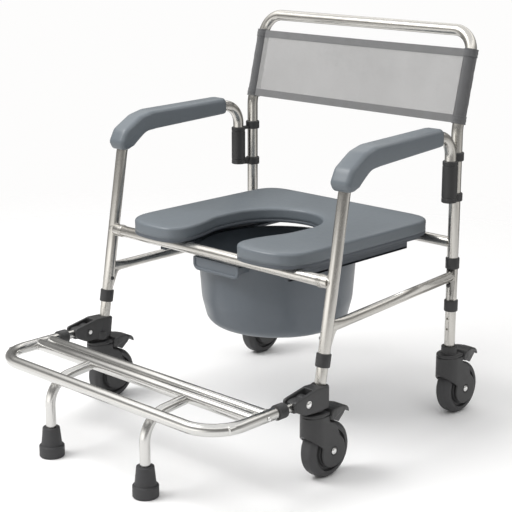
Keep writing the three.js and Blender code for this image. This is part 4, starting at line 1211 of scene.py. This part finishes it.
def lamp(name, at, target, size, power):
    data = bpy.data.lights.new(name, "AREA")
    data.shape, data.size, data.energy = "DISK", size, power
    obj = bpy.data.objects.new(name, data)
    obj.location = at
    obj.rotation_mode = "QUATERNION"
    obj.rotation_quaternion = (Vector(target) - Vector(at)).to_track_quat("-Z", "Y")
    bpy.context.scene.collection.objects.link(obj)


def studio():
    world = bpy.data.worlds.new("studio")
    bpy.context.scene.world = world
    world.use_nodes = True
    tree = world.node_tree
    tree.nodes.clear()
    new, link = tree.nodes.new, tree.links.new
    height = new("ShaderNodeSeparateXYZ")
    link(new("ShaderNodeTexCoord").outputs["Generated"], height.inputs[0])
    ramp = new("ShaderNodeValToRGB")
    stops = ((0.0, 0.35), (0.08, 0.22), (0.35, 0.55), (0.62, 1.3), (1.0, 1.5))
    ramp.color_ramp.elements[0].position, ramp.color_ramp.elements[0].color = stops[0][0], (stops[0][1],) * 3 + (1,)
    ramp.color_ramp.elements[1].position, ramp.color_ramp.elements[1].color = stops[-1][0], (stops[-1][1],) * 3 + (1,)
    for position, value in stops[1:-1]:
        ramp.color_ramp.elements.new(position).color = (value, value, value, 1)
    link(height.outputs["Z"], ramp.inputs[0])
    sky, seen, mix, out = (new(k) for k in ("ShaderNodeBackground", "ShaderNodeBackground",
                                            "ShaderNodeMixShader",
                                           "ShaderNodeOutputWorld"))
    link(ramp.outputs["Color"], sky.inputs["Color"])
    sky.inputs["Strength"].default_value = 0.75
    seen.inputs["Color"].default_value = (0.985, 0.98, 0.975, 1)
    link(new("ShaderNodeLightPath").outputs["Is Camera Ray"], mix.inputs[0])
    link(sky.outputs[0], mix.inputs[1])
    link(seen.outputs[0], mix.inputs[2])
    link(mix.outputs[0], out.inputs["Surface"])


def liner():
    """Cards standing round the set. Only reflections see them, as bands in the metal."""
    reach, top, count = 1.7, 2.2, 96
    angles = [2 * math.pi * k / count for k in range(count)]
    points = [(reach * math.sin(a), -reach * math.cos(a), z) for z in (-0.02, top) for a in angles]
    faces = [(k, (k + 1) % count, count + (k + 1) % count, count + k) for k in range(count)]
    mesh = bpy.data.meshes.new("liner")
    mesh.from_pydata(points, [], faces)
    obj = bpy.data.objects.new("liner", mesh)
    bpy.context.scene.collection.objects.link(obj)
    obj.visible_camera = obj.visible_diffuse = obj.visible_shadow = obj.visible_transmission = False
    s = Shader("liner_cards", (0.5, 0.5, 0.5))
    at = s.node("ShaderNodeSeparateXYZ", {0: s.node("ShaderNodeTexCoord").outputs["Object"]})
    angle = s.math("ARCTAN2", at.outputs["X"], s.math("MULTIPLY", at.outputs["Y"], -1.0))
    round_ = s.spread(angle, 0.0, 1.0, -math.pi, math.pi)
    low = s.node("ShaderNodeValToRGB", {0: round_})
    high = s.node("ShaderNodeValToRGB", {0: s.spread(at.outputs["Z"], 0.0, 1.0, 0.0, top)})
    share = s.node("ShaderNodeMapRange", {"Value": at.outputs["Z"], "From Min": 0.30, "From Max": 0.75})
    bands = ((0.0, 0.08), (0.13, 0.10), (0.30, 0.45), (0.44, 1.9), (0.53, 2.0), (0.60, 0.50), (0.68, 0.32),
             (0.76, 0.45), (0.86, 0.95), (0.93, 0.25), (1.0, 0.08))
    heights = ((0.0, 0.35), (0.25, 0.20), (0.5, 0.30), (0.75, 1.2), (1.0, 2.4))
    for ramp, stops in ((low.color_ramp, bands), (high.color_ramp, heights)):
        for k, (position, value) in enumerate(stops):
            last = k == len(stops) - 1
            element = ramp.elements[0] if k == 0 else ramp.elements[-1] if last else ramp.elements.new(position)
            element.position, element.color = position, (value, value * 0.985, value * 0.96, 1)
    mixed = s.node("ShaderNodeMix", {"Factor": share.outputs["Result"], 6: low.outputs["Color"],
                                     7: high.outputs["Color"]}, data_type="RGBA")
    glow = s.node("ShaderNodeEmission", {"Color": mixed.outputs[2], "Strength": 1.0})
    out = next(n for n in s.tree.nodes if n.type == "OUTPUT_MATERIAL")
    s.tree.links.new(glow.outputs[0], out.inputs["Surface"])
    s.tree.nodes.remove(s.bsdf)
    mesh.materials.append(s.material)


def camera():
    data = bpy.data.cameras.new("camera")
    data.lens, data.sensor_width = 98.41, 36.0
    data.clip_end = 100.0
    obj = bpy.data.objects.new("camera", data)
    at, target = Vector((2.0997, -2.13504, 1.17468)), Vector((-0.097625, 0.14752, 0.34171))
    obj.location = at
    obj.rotation_mode = "QUATERNION"
    obj.rotation_quaternion = (target - at).to_track_quat("-Z", "Y")
    bpy.context.scene.collection.objects.link(obj)
    bpy.context.scene.camera = obj


floor()
studio()
liner()
lamp("key", (-1.2, -1.6, 2.8), (0, 0, 0.4), 1.8, 66)
lamp("fill", (2.6, -0.4, 2.4), (0, 0, 0.4), 1.6, 4)
camera()
bpy.context.scene.view_settings.view_transform = "Standard"
